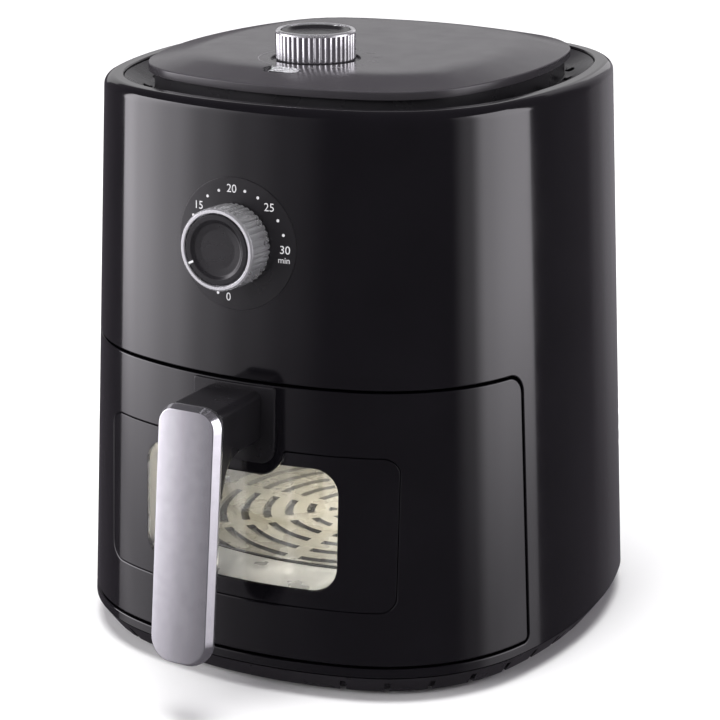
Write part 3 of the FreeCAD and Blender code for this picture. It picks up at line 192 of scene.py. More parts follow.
SKIN_INSET = 0.06
CASING = Skin(inset=SKIN_INSET)


class Plane:
    """A flat surface from its origin and its across and up directions, with an optional crown."""

    def __init__(self, origin, across, up, crown=0.0, half_width=1.0):
        self.origin, self.across, self.up = (np.array(v, float) for v in (origin, across, up))
        self.out = np.cross(self.across, self.up)
        self.crown, self.half_width = crown, half_width

    def points(self, flat, depth=0.0):
        fall = self.crown * (flat[:, :1] / self.half_width) ** 2
        return self.origin + flat[:, :1] * self.across + flat[:, 1:] * self.up - (depth + fall) * self.out

    def normals(self, flat):
        tilt = 2 * self.crown * flat[:, :1] / self.half_width ** 2
        return (self.out + tilt * self.across) / np.sqrt(1 + tilt ** 2)

    def directions(self, flat, vectors):
        return vectors[:, :1] * self.across + vectors[:, 1:] * self.up


class PlanTop:
    """An upper side in plan whose height and slope follow from the distance inside the outline.

    Its depth is measured straight down."""

    def __init__(self, shape):
        self.shape = shape

    def points(self, flat, depth=0.0):
        return np.column_stack([flat, self.shape(under_outline(flat)[0])[0] - depth])

    def normals(self, flat):
        inset, facing = under_outline(flat)
        slope = self.shape(inset)[1]
        length = np.sqrt(1 + slope ** 2)
        return facing_out(facing, slope / length, 1 / length)

    def directions(self, flat, vectors):
        return np.column_stack([vectors, np.zeros(len(flat))])


# ---------------------------------------------------------------- flat loops


CORNER_STEPS = 8
STRAIGHT = 1.56


def closed_loop(corners, step=3.0):
    """A closed outline from corners (u, v, radius), with points at most a step apart."""
    points = []
    count = len(corners)
    for i, (u, v, radius) in enumerate(corners):
        here = np.array([u, v], float)
        before = np.array(corners[i - 1][:2], float) - here
        after = np.array(corners[(i + 1) % count][:2], float) - here
        before /= np.linalg.norm(before)
        after /= np.linalg.norm(after)
        half = math.acos(max(-1, min(1, float(before @ after)))) / 2
        if radius <= 0 or half > STRAIGHT:
            points.append(here)
            continue
        cut = radius / math.tan(half)
        centre = here + (before + after) / np.linalg.norm(before + after) * radius / math.sin(half)
        first, last = here + before * cut - centre, here + after * cut - centre
        sweep = math.atan2(first[0] * last[1] - first[1] * last[0], first @ last)
        start = math.atan2(first[1], first[0])
        for j in range(CORNER_STEPS + 1):
            angle = start + sweep * j / CORNER_STEPS
            points.append(centre + radius * np.array([math.cos(angle), math.sin(angle)]))
    points = np.array(points)
    dense = []
    for here, there in zip(points, np.roll(points, -1, axis=0)):
        pieces = max(1, math.ceil(np.linalg.norm(there - here) / step))
        dense += [here + (there - here) * k / pieces for k in range(pieces)]
    return np.array(dense)


def oblong(left, low, right, high, low_round, high_round, step=3.0):
    """A rectangle with one rounding for its lower corners and one for its upper."""
    return closed_loop([(left, low, low_round), (right, low, low_round), (right, high, high_round),
                        (left, high, high_round)], step)


def anticlockwise(loop):
    u, v = loop[:, 0], loop[:, 1]
    return np.sum(u * np.roll(v, -1) - v * np.roll(u, -1)) > 0


def left_of(loop):
    """Mitred left-hand directions at the points of a closed loop."""
    edge = np.roll(loop, -1, axis=0) - loop
    edge /= np.maximum(np.linalg.norm(edge, axis=1, keepdims=True), 1e-9)
    after = np.column_stack([-edge[:, 1], edge[:, 0]])
    before = np.roll(after, 1, axis=0)
    return (before + after) / np.maximum(1 + np.sum(before * after, axis=1, keepdims=True), 0.4)


def inside(points, loop):
    """Which points lie inside a closed loop."""
    result = np.zeros(len(points), bool)
    u, v = points[:, 0], points[:, 1]
    for (u0, v0), (u1, v1) in zip(loop, np.roll(loop, -1, axis=0)):
        if v0 == v1:
            continue
        crosses = (v0 > v) != (v1 > v)
        result ^= crosses & (u < (u1 - u0) * (v - v0) / (v1 - v0) + u0)
    return result


def fill(loops, spacing):
    """Triangles between an outer loop and its holes. Returns points, triangles and each loop's indices."""
    points, edges, members = [], [], []
    for loop in loops:
        first = len(points)
        points += [tuple(point) for point in loop]
        edges += [(first + i, first + (i + 1) % len(loop)) for i in range(len(loop))]
        members.append(range(first, first + len(loop)))
    rim = np.array(points)
    low, high = loops[0].min(0), loops[0].max(0)
    grid = np.stack(np.meshgrid(np.arange(low[0] + spacing[0] / 2, high[0], spacing[0]),
                                np.arange(low[1] + spacing[1] / 2, high[1], spacing[1])), -1).reshape(-1, 2)
    keep = inside(grid, loops[0])
    for hole in loops[1:]:
        keep &= ~inside(grid, hole)
    grid = grid[keep]
    clear = 0.3 * min(spacing)
    if len(grid):
        nearest = np.min([np.min(np.linalg.norm(grid[:, None] - part[None], axis=2), axis=1)
                          for part in np.array_split(rim, max(1, len(rim) // 400))], axis=0)
        grid = grid[nearest > clear]
    corners = [Vector(point) for point in points] + [Vector(point) for point in grid]
    verts, _, faces, origin, _, _ = delaunay_2d_cdt(corners, edges, [], 0, 1e-5)
    new_index = {old: new for new, olds in enumerate(origin) for old in olds}
    flat = np.array([tuple(v) for v in verts])
    triangles = np.array(faces)
    middle = flat[triangles].mean(axis=1)
    keep = inside(middle, loops[0])
    for hole in loops[1:]:
        keep &= ~inside(middle, hole)
    return flat, triangles[keep], [[new_index[i] for i in group] for group in members]


# ---------------------------------------------------------------- meshes


RING_COUNT = 360


class Bag:
    """Points, normals and faces of one piece, gathered before its mesh is made."""

    def __init__(self):
        self.points, self.normals, self.faces = [], [], []
        self.count = 0

    def add(self, points, normals):
        """Adds points and returns their indices."""
        points = np.asarray(points, float)
        normals = np.broadcast_to(np.asarray(normals, float), points.shape)
        self.points.append(points)
        self.normals.append(normals)
        self.count += len(points)
        return np.arange(self.count - len(points), self.count)

    def face(self, corners):
        self.faces.append(tuple(int(i) for i in corners))

    def bands(self, rows):
        """Joins closed rows of points, each to the next."""
        for lower, upper in zip(rows, rows[1:]):
            for i in range(len(lower)):
                j = (i + 1) % len(lower)
                self.face((lower[i], lower[j], upper[j], upper[i]))

    def mesh(self, name, sharp_angle=None):
        """A mesh with its faces turned to the normals; an angle makes it shade by its edges instead."""
        points, normals = np.concatenate(self.points), np.concatenate(self.normals)
        faces = []
        for face in self.faces:
            corners = points[list(face)]
            facing = np.zeros(3)
            for i in range(1, len(face) - 1):
                facing += np.cross(corners[i] - corners[0], corners[i + 1] - corners[0])
            wanted = normals[list(face)].sum(axis=0)
            faces.append(face[::-1] if facing @ wanted < 0 else face)
        mesh = bpy.data.meshes.new(name)
        mesh.from_pydata((points * MM).tolist(), [], faces)
        mesh.polygons.foreach_set("use_smooth", [True] * len(faces))
        if sharp_angle is None:
            lengths = np.linalg.norm(normals, axis=1, keepdims=True)
            mesh.normals_split_custom_set_from_vertices((normals / np.maximum(lengths, 1e-9)).tolist())
        else:
            mesh.set_sharp_from_angle(angle=math.radians(sharp_angle))
        mesh.update()
        return mesh


def piece(bag, name, material, body, nodes=(), sharp_angle=None):
    """Makes an object from a bag, rides it on a body and lets it stand for CAD nodes."""
    mesh = bag.mesh(name, sharp_angle)
    mesh.materials.append(MATERIALS[material])
    thing = bpy.data.objects.new(name, mesh)
    bpy.context.scene.collection.objects.link(thing)
    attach(thing, body)
    if nodes:
        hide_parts(*nodes)


def rounding(radius, steps=5):
    """A quarter-round edge: inward shift, drop below the face and tilt of the normal, from face to wall."""
    turns = [math.pi / 2 * (1 - step / steps) for step in range(steps + 1)]
    return [(radius * (1 - math.cos(turn)), radius * (1 - math.sin(turn)), turn) for turn in turns]


def chamfer(wide, deep, soft=0.3):
    """A flat bevel with softened ends, from face to wall."""
    right, tilt = math.pi / 2, math.atan2(wide, deep)
    return [(wide + soft, 0, right), (wide, soft * 0.1, (right + tilt) / 2), (wide - soft * 0.4, soft, tilt),
            (soft * 0.4, deep - soft, tilt), (soft * 0.1, deep, tilt / 2), (0, deep + soft, 0)]


def plate(bag, surface, loops, front, back, edge, back_edge=None, spacing=(6, 14), wall=True):
    """A plate laid on a surface, with shaped edges, walls and a back.

    The first loop is its outside and the rest are holes. Depths are measured inwards. 'wall' is
    False when the outer loop joins something else."""
    back_edge = back_edge or [(0, 0, math.pi / 2)]
    turned = [loop if anticlockwise(loop) == (i == 0) else loop[::-1] for i, loop in enumerate(loops)]
    shaped = [wall or i > 0 for i in range(len(loops))]
    inner = [loop + left_of(loop) * edge[0][0] if has else loop for loop, has in zip(turned, shaped)]
    flat, triangles, members = fill(inner, spacing)
    face = bag.add(surface.points(flat, front), surface.normals(flat))
    back_flat = flat.copy()
    for loop, group in zip(turned, members):
        back_flat[group] = loop + left_of(loop) * back_edge[0][0]
    behind = bag.add(surface.points(back_flat, back), -surface.normals(back_flat))
    for corners in triangles:
        bag.face(face[corners])
        bag.face(behind[corners])
    for loop, group, has in zip(turned, members, shaped):
        if not has:
            continue
        inwards = left_of(loop)
        out = surface.directions(loop, -inwards / np.linalg.norm(inwards, axis=1, keepdims=True))
        facing = surface.normals(loop)
        rows = [face[group]]
        for shift, drop, tilt in edge[1:]:
            rows.append(bag.add(surface.points(loop + inwards * shift, front + drop),
                                facing * math.sin(tilt) + out * math.cos(tilt)))
        for shift, drop, tilt in back_edge[::-1]:
            if tilt < math.pi / 2 or len(back_edge) == 1:
                tilt = 0 if len(back_edge) == 1 else tilt
                rows.append(bag.add(surface.points(loop + inwards * shift, back - drop),
                                    out * math.cos(tilt) - facing * math.sin(tilt)))
        if len(back_edge) > 1:
            rows.append(behind[group])
        bag.bands(rows)


def round_path(count):
    return np.linspace(0, ROUND, count, endpoint=False)


def ring_rows(bag, entries):
    """Closed rows round the outline. Each entry is outward distance, height, outward and upward normal."""
    path = round_path(RING_COUNT)
    angle = on_outline(path)[0]
    bag.bands([bag.add(np.column_stack([in_plan(path, -out_by), np.full(len(path), height)]),
                       facing_out(angle, out, up)) for out_by, height, out, up in entries])


def lathe(bag, entries, place, count=96, fluted=None):
    """A body of revolution about the place's Z; entries are radius, height, outward and upward normal.

    'fluted' maps an angle to how much the radius shrinks, for the entries marked with a fifth value."""
    angles = np.linspace(0, 2 * math.pi, count, endpoint=False)
    rotation, centre = np.array(place.to_3x3()), np.array(place.translation)
    rows = []
    for radius, height, out, up, *flute in entries:
        reach = np.full(count, float(radius))
        if flute:
            reach = reach - flute[0] * fluted(angles)
        points = facing_out(angles, reach, float(height))
        rows.append(bag.add(points @ rotation.T + centre, facing_out(angles, out, float(up)) @ rotation.T))
    bag.bands(rows)


def profile(corners, radii, steps=5):
    """Entries for lathe or ring_rows through rounded corners (outward, height).

    The outside is on the right of travel."""
    points = np.array(corners, float)
    radii = [radii] * len(points) if isinstance(radii, (int, float)) else radii
    entries = []
    travel = [step / np.linalg.norm(step) for step in np.diff(points, axis=0)]
    for i, (here, before, after) in enumerate(zip(points, [None, *travel], [*travel, None])):
        first = None if before is None else np.array([before[1], -before[0]])
        last = None if after is None else np.array([after[1], -after[0]])
        if first is None or last is None or radii[i] <= 0:
            entries += [(*here, *normal) for normal in (first, last) if normal is not None]
            continue
        turn = math.atan2(before[0] * after[1] - before[1] * after[0], float(before @ after))
        side = 1 if turn > 0 else -1
        start = here - before * radii[i] * math.tan(abs(turn) / 2)
        centre = start - side * radii[i] * first
        for step in range(steps + 1):
            angle = turn * step / steps
            normal = np.array([first[0] * math.cos(angle) - first[1] * math.sin(angle),
                               first[0] * math.sin(angle) + first[1] * math.cos(angle)])
            entries.append((*(centre + side * radii[i] * normal), *normal))
    return entries


# ---------------------------------------------------------------- materials


PATTERN_RANGE = (0.3, 0.7)


class Finish:
    """A procedural material: a Principled shader with patterns in the object's own space, in metres."""

    def __init__(self, name, **values):
        self.material = bpy.data.materials.new(name)
        self.material.use_nodes = True
        self.nodes = self.material.node_tree.nodes
        self.links = self.material.node_tree.links
        self.shader = self.nodes["Principled BSDF"]
        self.space = self.nodes.new("ShaderNodeTexCoord").outputs["Object"]
        for label, amount in values.items():
            self.shader.inputs[label.replace("_", " ")].default_value = amount

    def join(self, source, node, label):
        self.links.new(source, node.inputs[label])

    def stretched(self, scale):
        mapping = self.nodes.new("ShaderNodeMapping")
        mapping.inputs["Scale"].default_value = scale
        self.join(self.space, mapping, "Vector")
        return mapping.outputs["Vector"]

    def noise(self, size, detail=3.0, roughness=0.5, stretch=None):
        """Soft noise whose lumps are about 'size' millimetres."""
        node = self.nodes.new("ShaderNodeTexNoise")
        node.inputs["Scale"].default_value = 1 / (size * MM)
        node.inputs["Detail"].default_value = detail
        node.inputs["Roughness"].default_value = roughness
        self.join(self.stretched(stretch) if stretch else self.space, node, "Vector")
        return node.outputs["Fac"]

    def colours(self, source, dark, light):
        """Colours the surface between two colours by a pattern."""
        node = self.nodes.new("ShaderNodeValToRGB")
        for element, position, colour in zip(node.color_ramp.elements, PATTERN_RANGE, (dark, light)):
            element.position = position
            element.color = (*colour, 1)
        self.join(source, node, "Fac")
        self.join(node.outputs["Color"], self.shader, "Base Color")
        return self

    def rough(self, source, low, high):
        """Spreads the roughness over a range by a pattern."""
        node = self.nodes.new("ShaderNodeMapRange")
        for label, amount in zip(("From Min", "From Max", "To Min", "To Max"), (*PATTERN_RANGE, low, high)):
            node.inputs[label].default_value = amount
        self.join(source, node, "Value")
        self.join(node.outputs["Result"], self.shader, "Roughness")
        return self

    def bump(self, source, height, strength):
        """Relief of a height in millimetres."""
        node = self.nodes.new("ShaderNodeBump")
        node.inputs["Distance"].default_value = height * MM
        node.inputs["Strength"].default_value = strength
        self.join(source, node, "Height")
        self.join(node.outputs["Normal"], self.shader, "Normal")
        return self


def gloss_black(name):
    """Piano-black moulding: faint flow marks, a slight orange peel and a few dull smears."""
    finish = Finish(name, IOR=1.52, Coat_Weight=0.35, Coat_Roughness=0.04)
    finish.colours(finish.noise(38, 4), (0.0028, 0.0025, 0.0034), (0.0040, 0.0036, 0.0048))
    finish.rough(finish.noise(55, 5, 0.6), 0.07, 0.13)
    return finish.bump(finish.noise(9, 2), 0.012, 0.25).material


def satin(name, dark, light, low, high, grain=0.35, relief=0.02, lumps=24, **values):
    """A matt or satin moulding with fine spark-eroded grain."""
    finish = Finish(name, **values)
    finish.colours(finish.noise(lumps, 5, 0.6), dark, light)
    finish.rough(finish.noise(lumps * 0.7, 4), low, high)
    return finish.bump(finish.noise(grain, 2), relief, 0.5).material


def metal(name, dark, light, low, high, grain=(1, 1, 1), size=0.5, relief=0.004):
    """A metal with directional or even grain."""
    finish = Finish(name, Metallic=1.0)
    finish.colours(finish.noise(14, 5, 0.6), dark, light)
    finish.rough(finish.noise(size * 4, 4, 0.6, grain), low, high)
    return finish.bump(finish.noise(size, 3, 0.6, grain), relief, 0.6).material


def clear(name, dark, light, low, high):
    """Glass or clear plastic with the faintest waviness and a little dust."""
    finish = Finish(name, IOR=1.47, Transmission_Weight=1.0)
    finish.colours(finish.noise(30, 3), dark, light)
    finish.rough(finish.noise(12, 4), low, high)
    return finish.bump(finish.noise(25, 2), 0.01, 0.1).material


def silver_lacquer(name):
    """Silver metallic lacquer: tiny flakes in a satin clear coat."""
    finish = Finish(name, Metallic=0.95, Coat_Weight=0.3, Coat_Roughness=0.12)
    finish.colours(finish.noise(6, 4), (0.67, 0.665, 0.70), (0.72, 0.715, 0.75))
    finish.rough(finish.noise(9, 4), 0.17, 0.20)
    return finish.bump(finish.noise(2.5, 2), 0.001, 0.3).material


SATINS = {
    "top_satin": ((0.046, 0.043, 0.048), (0.054, 0.051, 0.056), 0.18, 0.23, {"relief": 0.004}),
    "black_plastic": ((0.008, 0.0075, 0.009), (0.013, 0.012, 0.014), 0.26, 0.36, {}),
    "dark_vent": ((0.022, 0.021, 0.023), (0.030, 0.029, 0.032), 0.24, 0.34, {"relief": 0.006}),
    "satin_chrome": ((0.84, 0.84, 0.86), (0.92, 0.92, 0.94), 0.25, 0.30,
                     {"grain": 4, "relief": 0.0005, "Metallic": 0.85}),
    "knob_cap": ((0.010, 0.0095, 0.011), (0.015, 0.014, 0.016), 0.22, 0.30, {"relief": 0.006}),
    "window_print": ((0.004, 0.0037, 0.0045), (0.006, 0.0055, 0.007), 0.25, 0.33, {}),
    "pot_coating": ((0.10, 0.095, 0.078), (0.13, 0.123, 0.102), 0.24, 0.32,
                    {"grain": 2.5, "relief": 0.004, "lumps": 30, "Metallic": 0.35}),
    "bright_steel": ((0.80, 0.80, 0.78), (0.88, 0.88, 0.86), 0.26, 0.36,
                     {"grain": 3, "relief": 0.002, "Metallic": 0.6}),
    "rubber": ((0.012, 0.012, 0.012), (0.022, 0.022, 0.022), 0.62, 0.78, {"grain": 0.6, "relief": 0.04}),
    "silicone": ((0.06, 0.06, 0.06), (0.09, 0.09, 0.09), 0.5, 0.62, {"grain": 0.8, "relief": 0.03}),
    "board": ((0.015, 0.10, 0.04), (0.03, 0.17, 0.07), 0.3, 0.45, {"lumps": 4}),
    "white_plastic": ((0.66, 0.64, 0.58), (0.76, 0.74, 0.69), 0.42, 0.55, {}),
    "print_white": ((0.62, 0.62, 0.63), (0.74, 0.74, 0.75), 0.45, 0.55, {"relief": 0.01}),
    "print_grey": ((0.17, 0.165, 0.175), (0.22, 0.215, 0.225), 0.45, 0.55, {"relief": 0.01}),
}
METALS = {
    "chrome": ((0.80, 0.80, 0.82), (0.90, 0.90, 0.92), 0.13, 0.19, {"size": 3, "relief": 0.001}),
    "sheet_steel": ((0.30, 0.30, 0.30), (0.40, 0.40, 0.40), 0.30, 0.40,
                    {"grain": (1, 1, 0.2), "size": 3, "relief": 0.002}),
    "element": ((0.10, 0.085, 0.08), (0.24, 0.19, 0.16), 0.35, 0.55, {}),
    "steel": ((0.55, 0.55, 0.56), (0.70, 0.70, 0.71), 0.22, 0.34, {}),
    "aluminium": ((0.62, 0.62, 0.63), (0.74, 0.74, 0.75), 0.28, 0.42, {}),
    "brass": ((0.60, 0.45, 0.22), (0.76, 0.60, 0.34), 0.28, 0.42, {}),
}
GLASSES = {
    "window_glass": ((0.93, 0.93, 0.93), (0.97, 0.97, 0.97), 0.0, 0.008),
    "clear_glass": ((0.94, 0.96, 0.94), (0.98, 0.99, 0.98), 0.0, 0.01),
    "lens": ((0.50, 0.50, 0.52), (0.62, 0.62, 0.64), 0.18, 0.26),
}


def make_materials():
    """One material for each of the record's slots, and a few more for print and bright metal."""
    made = {name: gloss_black(name) for name in ("casing", "drawer_skin")}
    made["silver_paint"] = silver_lacquer("silver_paint")
    for table, make in ((SATINS, satin), (METALS, metal)):
        for name, (*looks, more) in table.items():
            made[name] = make(name, *looks, **more)
    for name, looks in GLASSES.items():
        made[name] = clear(name, *looks)
    return made


MATERIALS = make_materials()


def dress_nodes():
    """Gives every CAD node the material of its slot; the window's tunnel is brighter than its slot."""
    for part in frame["record"]["subparts"]:
        mesh = frame["nodes"][part["node"]].data
        look = "bright_steel" if part["node"] == "window_tunnel" else part["material_slot"]
        mesh.materials.clear()
        mesh.materials.append(MATERIALS[look])


dress_nodes()

# ---------------------------------------------------------------- casing


def lean_in(height):
    return height * math.tan(LEAN)


def side_panel_loop(low, high, side_y, low_round, high_round):
    """The drawer front's outline on the casing, as path and height."""
    low_end, high_end = CASING.side_path(side_y, low), CASING.side_path(side_y, high)
    return closed_loop([(-low_end, low, low_round), (low_end, low, low_round), (high_end, high, high_round),
                        (-high_end, high, high_round)])


GRILLE_HALF, GRILLE_LAP = 70.0, 6
SLOT_ROWS, SLOT_LOW, SLOT_PITCH, SLOT_TALL = 4, 80.0, 9.0, 4
SLOT_FRONT_Y, SLOT_BACK_Y = 72, 108
LIP_FRONT, LIP_BACK = 5.5, 6.5
RIM_STEPS = 8


def grille_opening():
    """The opening in the back wall that the grille covers."""
    low, high = (corner.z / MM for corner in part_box("rear_grille"))
    low, high = low + GRILLE_LAP, high - GRILLE_LAP
    back = ROUND / 2
    low_half, high_half = (back - float(CASING.path_at(0, [GRILLE_HALF], [height], back, ROUND / 4)[0])
                           for height in (low, high))
    return closed_loop([(back - low_half, low, 0), (back + low_half, low, 0), (back + high_half, high, 0),
                        (back - high_half, high, 0)])


def side_slots(last_path):
    """Rows of air slots in both sides, near the back."""
    loops = []
    for row in range(SLOT_ROWS):
        low = SLOT_LOW + SLOT_PITCH * row
        front, back = (CASING.side_path(y, low + 2) for y in (SLOT_FRONT_Y, SLOT_BACK_Y))
        for first, last in ((front, back), (ROUND - back, ROUND - front)):
            if first > last_path:
                first, last = first - ROUND, last - ROUND
            loops.append(oblong(first, low, last, low + SLOT_TALL, 1.2, 1.2))
    return loops


def outer_shell():
    """The one-piece casing: leaning wall with its openings, seal lip, rounded rim and inward edge."""
    bag = Bag()
    start, top = -ROUND / 4, SHELL_TOP - RIM_ROUND
    outside = oblong(start, SHELL_LOW, start + ROUND, top, 0, 0, ROUND / RING_COUNT)
    drawer = side_panel_loop(PANEL_LOW - SEAM, PANEL_TOP + SEAM, -PANEL_SIDE + SEAM, 4.3, 10.3)
    plate(bag, CASING, [outside, drawer, grille_opening(), *side_slots(start + ROUND)], 0, SHELL_WALL,
          rounding(0.7), spacing=(6, 16), wall=False)
    lip_end = CASING.side_path(-PANEL_SIDE, PANEL_TOP)
    lip = oblong(-lip_end, PANEL_TOP - 2, lip_end, DECK_LOW - 0.1, 0, 0)
    plate(bag, CASING, [lip], LIP_FRONT, LIP_BACK, rounding(0.2, 2), spacing=(6, 6))
    rim = []
    foot_inset = lean_in(top) + SKIN_INSET
    for step in range(RIM_STEPS + 1):
        share = step / RIM_STEPS
        turn = LEAN + (math.pi / 2 - LEAN) * share
        rim.append((-foot_inset - RIM_ROUND * (1 - math.cos(math.pi / 2 * share)),
                    top + RIM_ROUND * math.sin(math.pi / 2 * share), math.cos(turn), math.sin(turn)))
    inner, rim_low = lean_in(SHELL_TOP) + RIM_WIDTH, SHELL_TOP - RIM_THICK
    rim += profile([(-foot_inset - RIM_ROUND, SHELL_TOP), (-inner, SHELL_TOP), (-inner, rim_low),
                    (-foot_inset - SHELL_WALL, rim_low)], [0, 0.9, 0.4, 0])[1:]
    ring_rows(bag, rim)
    low_inset = lean_in(SHELL_LOW)
    ring_rows(bag, profile([(-low_inset - SHELL_WALL, SHELL_LOW), (-low_inset - SKIN_INSET, SHELL_LOW)], 0))
    piece(bag, "casing_shell", "casing", "housing", ["outer_shell"])


outer_shell()


def drawer_front():
    bag = Bag()
    loops = [side_panel_loop(PANEL_LOW, PANEL_TOP, -PANEL_SIDE, 3, 9), CASING.from_front(window_loop(0))]
    plate(bag, CASING, loops, 0, 3.0, rounding(0.8), spacing=(5, 9))
    piece(bag, "drawer_front", "drawer_skin", "drawer", ["drawer_front_panel"])


WINDOW_LOW, WINDOW_TOP = (corner.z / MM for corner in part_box("window_mask"))
GLASS_GAP = 0.3
NOTCH_HALF, NOTCH_LOW, NOTCH_ROUND = 26.4, 113.0, 12.0
WINDOW_HALF, WINDOW_ROUND = 82.5, 8.0
CLEAR_HALF, CLEAR_LOW, CLEAR_TOP, CLEAR_ROUND = 54.8, 56.0, 119.0, 13.0
NOTCH_TOP_ROUND = 2
NOTCH_POINTS = 10
WINDOW_STEP = 2.5


def mirrored(corners):
    return [(-u, v, radius) for u, v, radius in corners[::-1]]


def window_loop(gap):
    """The window's outline in the front view, with the notch round the handle's mount, shrunk by a gap."""
    low, top = WINDOW_LOW - GLASS_GAP + gap, WINDOW_TOP + GLASS_GAP - gap
    wide, notch_half, notch_low = WINDOW_HALF - gap, NOTCH_HALF + gap, NOTCH_LOW - gap
    corner, notch = WINDOW_ROUND - gap, NOTCH_ROUND + gap
    right = [(wide, low, corner), (wide, top, corner), (notch_half, top, NOTCH_TOP_ROUND),
             (notch_half, notch_low, notch)]
    loop = [*mirrored(right)[-1:], *right, *mirrored(right)[:-1]]
    return closed_loop(loop, WINDOW_STEP)


def notch_side(stop):
    """Corners along the notch's rounded lower right corner, from its side down to an angle in degrees."""
    reach = NOTCH_ROUND + GLASS_GAP
    centre = NOTCH_HALF + GLASS_GAP - reach, NOTCH_LOW - GLASS_GAP + reach
    return [(centre[0] + reach * math.cos(angle), centre[1] + reach * math.sin(angle), 0)
            for angle in np.radians(np.linspace(0, stop, NOTCH_POINTS))]


def window():
    """A black frame flush with the drawer, and the clear pane inside it, round the handle's mount."""
    low, top = WINDOW_LOW, WINDOW_TOP
    wide, corner = WINDOW_HALF - GLASS_GAP, WINDOW_ROUND - GLASS_GAP
    drop = math.degrees(math.asin((NOTCH_LOW + NOTCH_ROUND - CLEAR_TOP) / (NOTCH_ROUND + GLASS_GAP)))
    side = notch_side(-drop)
    right = [(wide, low, corner), (wide, top, corner), (NOTCH_HALF + GLASS_GAP, top, NOTCH_TOP_ROUND), *side,
             (CLEAR_HALF, CLEAR_TOP, CLEAR_ROUND), (CLEAR_HALF, CLEAR_LOW, CLEAR_ROUND)]
    loop = closed_loop(right + mirrored(right), WINDOW_STEP)
    bag = Bag()
    plate(bag, CASING, [CASING.from_front(loop)], 0.1, 2.95, rounding(0.3, 3), spacing=(5, 9))
    piece(bag, "window_frame", "drawer_skin", "drawer", ["window_mask"])
    bag = Bag()
    bottom = [corner for corner in notch_side(-90) if corner[1] < CLEAR_TOP]
    right = [(CLEAR_HALF, CLEAR_LOW, CLEAR_ROUND), (CLEAR_HALF, CLEAR_TOP, CLEAR_ROUND), side[-1], *bottom]
    loop = closed_loop(right + mirrored(right), WINDOW_STEP)
    plate(bag, CASING, [CASING.from_front(loop)], 0.15, 2.9, rounding(0.05, 1), spacing=(5, 9))
    piece(bag, "window_pane", "window_glass", "drawer", ["window_glass_outer"])


drawer_front()
window()

# ---------------------------------------------------------------- handle


MOUNT_LOW, MOUNT_TOP = (corner.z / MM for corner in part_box("handle_mount_plate"))
MOUNT_HALF, MOUNT_THICK = 22.8, 1.4
FACE_HALF, FACE_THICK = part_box("handle_face_plate")[1].x / MM, 5.8
HANDLE_LEAN = math.radians(6.3)
HANDLE_LOW, HANDLE_TOP = 30.3, 157.5
HANDLE_REACH = 177.0
HANDLE_LENGTH = (HANDLE_TOP - HANDLE_LOW) / math.cos(HANDLE_LEAN)
ARM_HALF, ARM_LOW, ARM_TOP, ARM_ROOT_Y = 15.4, 128.8, 155, -128
ARM_FACE_TOP, ARM_FACE_LOW, ARM_FOOT_Y = HANDLE_TOP - 2.5, HANDLE_TOP - 48, -162
GRIP_HALF, GRIP_DEEP, GRIP_BEHIND = 11.0, 9.0, FACE_THICK + 0.05


def handle_mount():
    bag = Bag()
    loop = oblong(-MOUNT_HALF, MOUNT_LOW, MOUNT_HALF, MOUNT_TOP, 8, 1.5, 2.5)
    plate(bag, CASING, [CASING.from_front(loop)], -MOUNT_THICK, -0.02, rounding(0.7), spacing=(5, 6))
    piece(bag, "handle_mount", "black_plastic", "drawer", ["handle_mount_plate"])


def handle_surface(crown=0.0):
    """The leaning front plane of the handle, with its origin at the top."""
    up = (0, math.sin(HANDLE_LEAN), math.cos(HANDLE_LEAN))
    return Plane((0, -HANDLE_REACH, HANDLE_TOP), (1, 0, 0), up, crown, FACE_HALF)


def handle_face():
    bag = Bag()
    loop = oblong(-FACE_HALF, -HANDLE_LENGTH, FACE_HALF, 0, 13, 10, 2.0)
    plate(bag, handle_surface(1.5), [loop], 0.02, FACE_THICK, chamfer(1.9, 4.2), spacing=(3, 8))
    piece(bag, "handle_face", "silver_paint", "drawer", ["handle_face_plate"])


def handle_arm():
    """The arm that stands out from the drawer, and the grip core down the back of the face."""
    bag = Bag()
    lean = math.tan(HANDLE_LEAN)
    high_y, low_y = (GRIP_BEHIND / math.cos(HANDLE_LEAN) - HANDLE_REACH - (HANDLE_TOP - z) * lean
                     for z in (ARM_FACE_TOP, ARM_FACE_LOW))
    side = closed_loop([(ARM_ROOT_Y, ARM_TOP, 0), (high_y, ARM_TOP, 2.5), (low_y, ARM_FACE_LOW, 1.5),
                        (low_y + 7.5, ARM_FACE_LOW, 1.5), (ARM_FOOT_Y, ARM_LOW, 14),
                        (ARM_ROOT_Y, ARM_LOW, 0)], 2.0)
    across = Plane((ARM_HALF, 0, 0), (0, 1, 0), (0, 0, 1))
    plate(bag, across, [side], 0, 2 * ARM_HALF, rounding(4.0, 6), rounding(4.0, 6), spacing=(4, 4))
    loop = oblong(-GRIP_HALF, 4 - HANDLE_LENGTH, GRIP_HALF, -2.6, 9, 3, 2.0)
    plate(bag, handle_surface(), [loop], GRIP_BEHIND, GRIP_BEHIND + GRIP_DEEP,
          [(0, 0, math.pi / 2), (0, 0, 0)], rounding(3.2), spacing=(4, 8))
    piece(bag, "handle_arm_shell", "black_plastic", "drawer", ["handle_arm"])


handle_mount()
handle_face()
handle_arm()

# ---------------------------------------------------------------- top plate


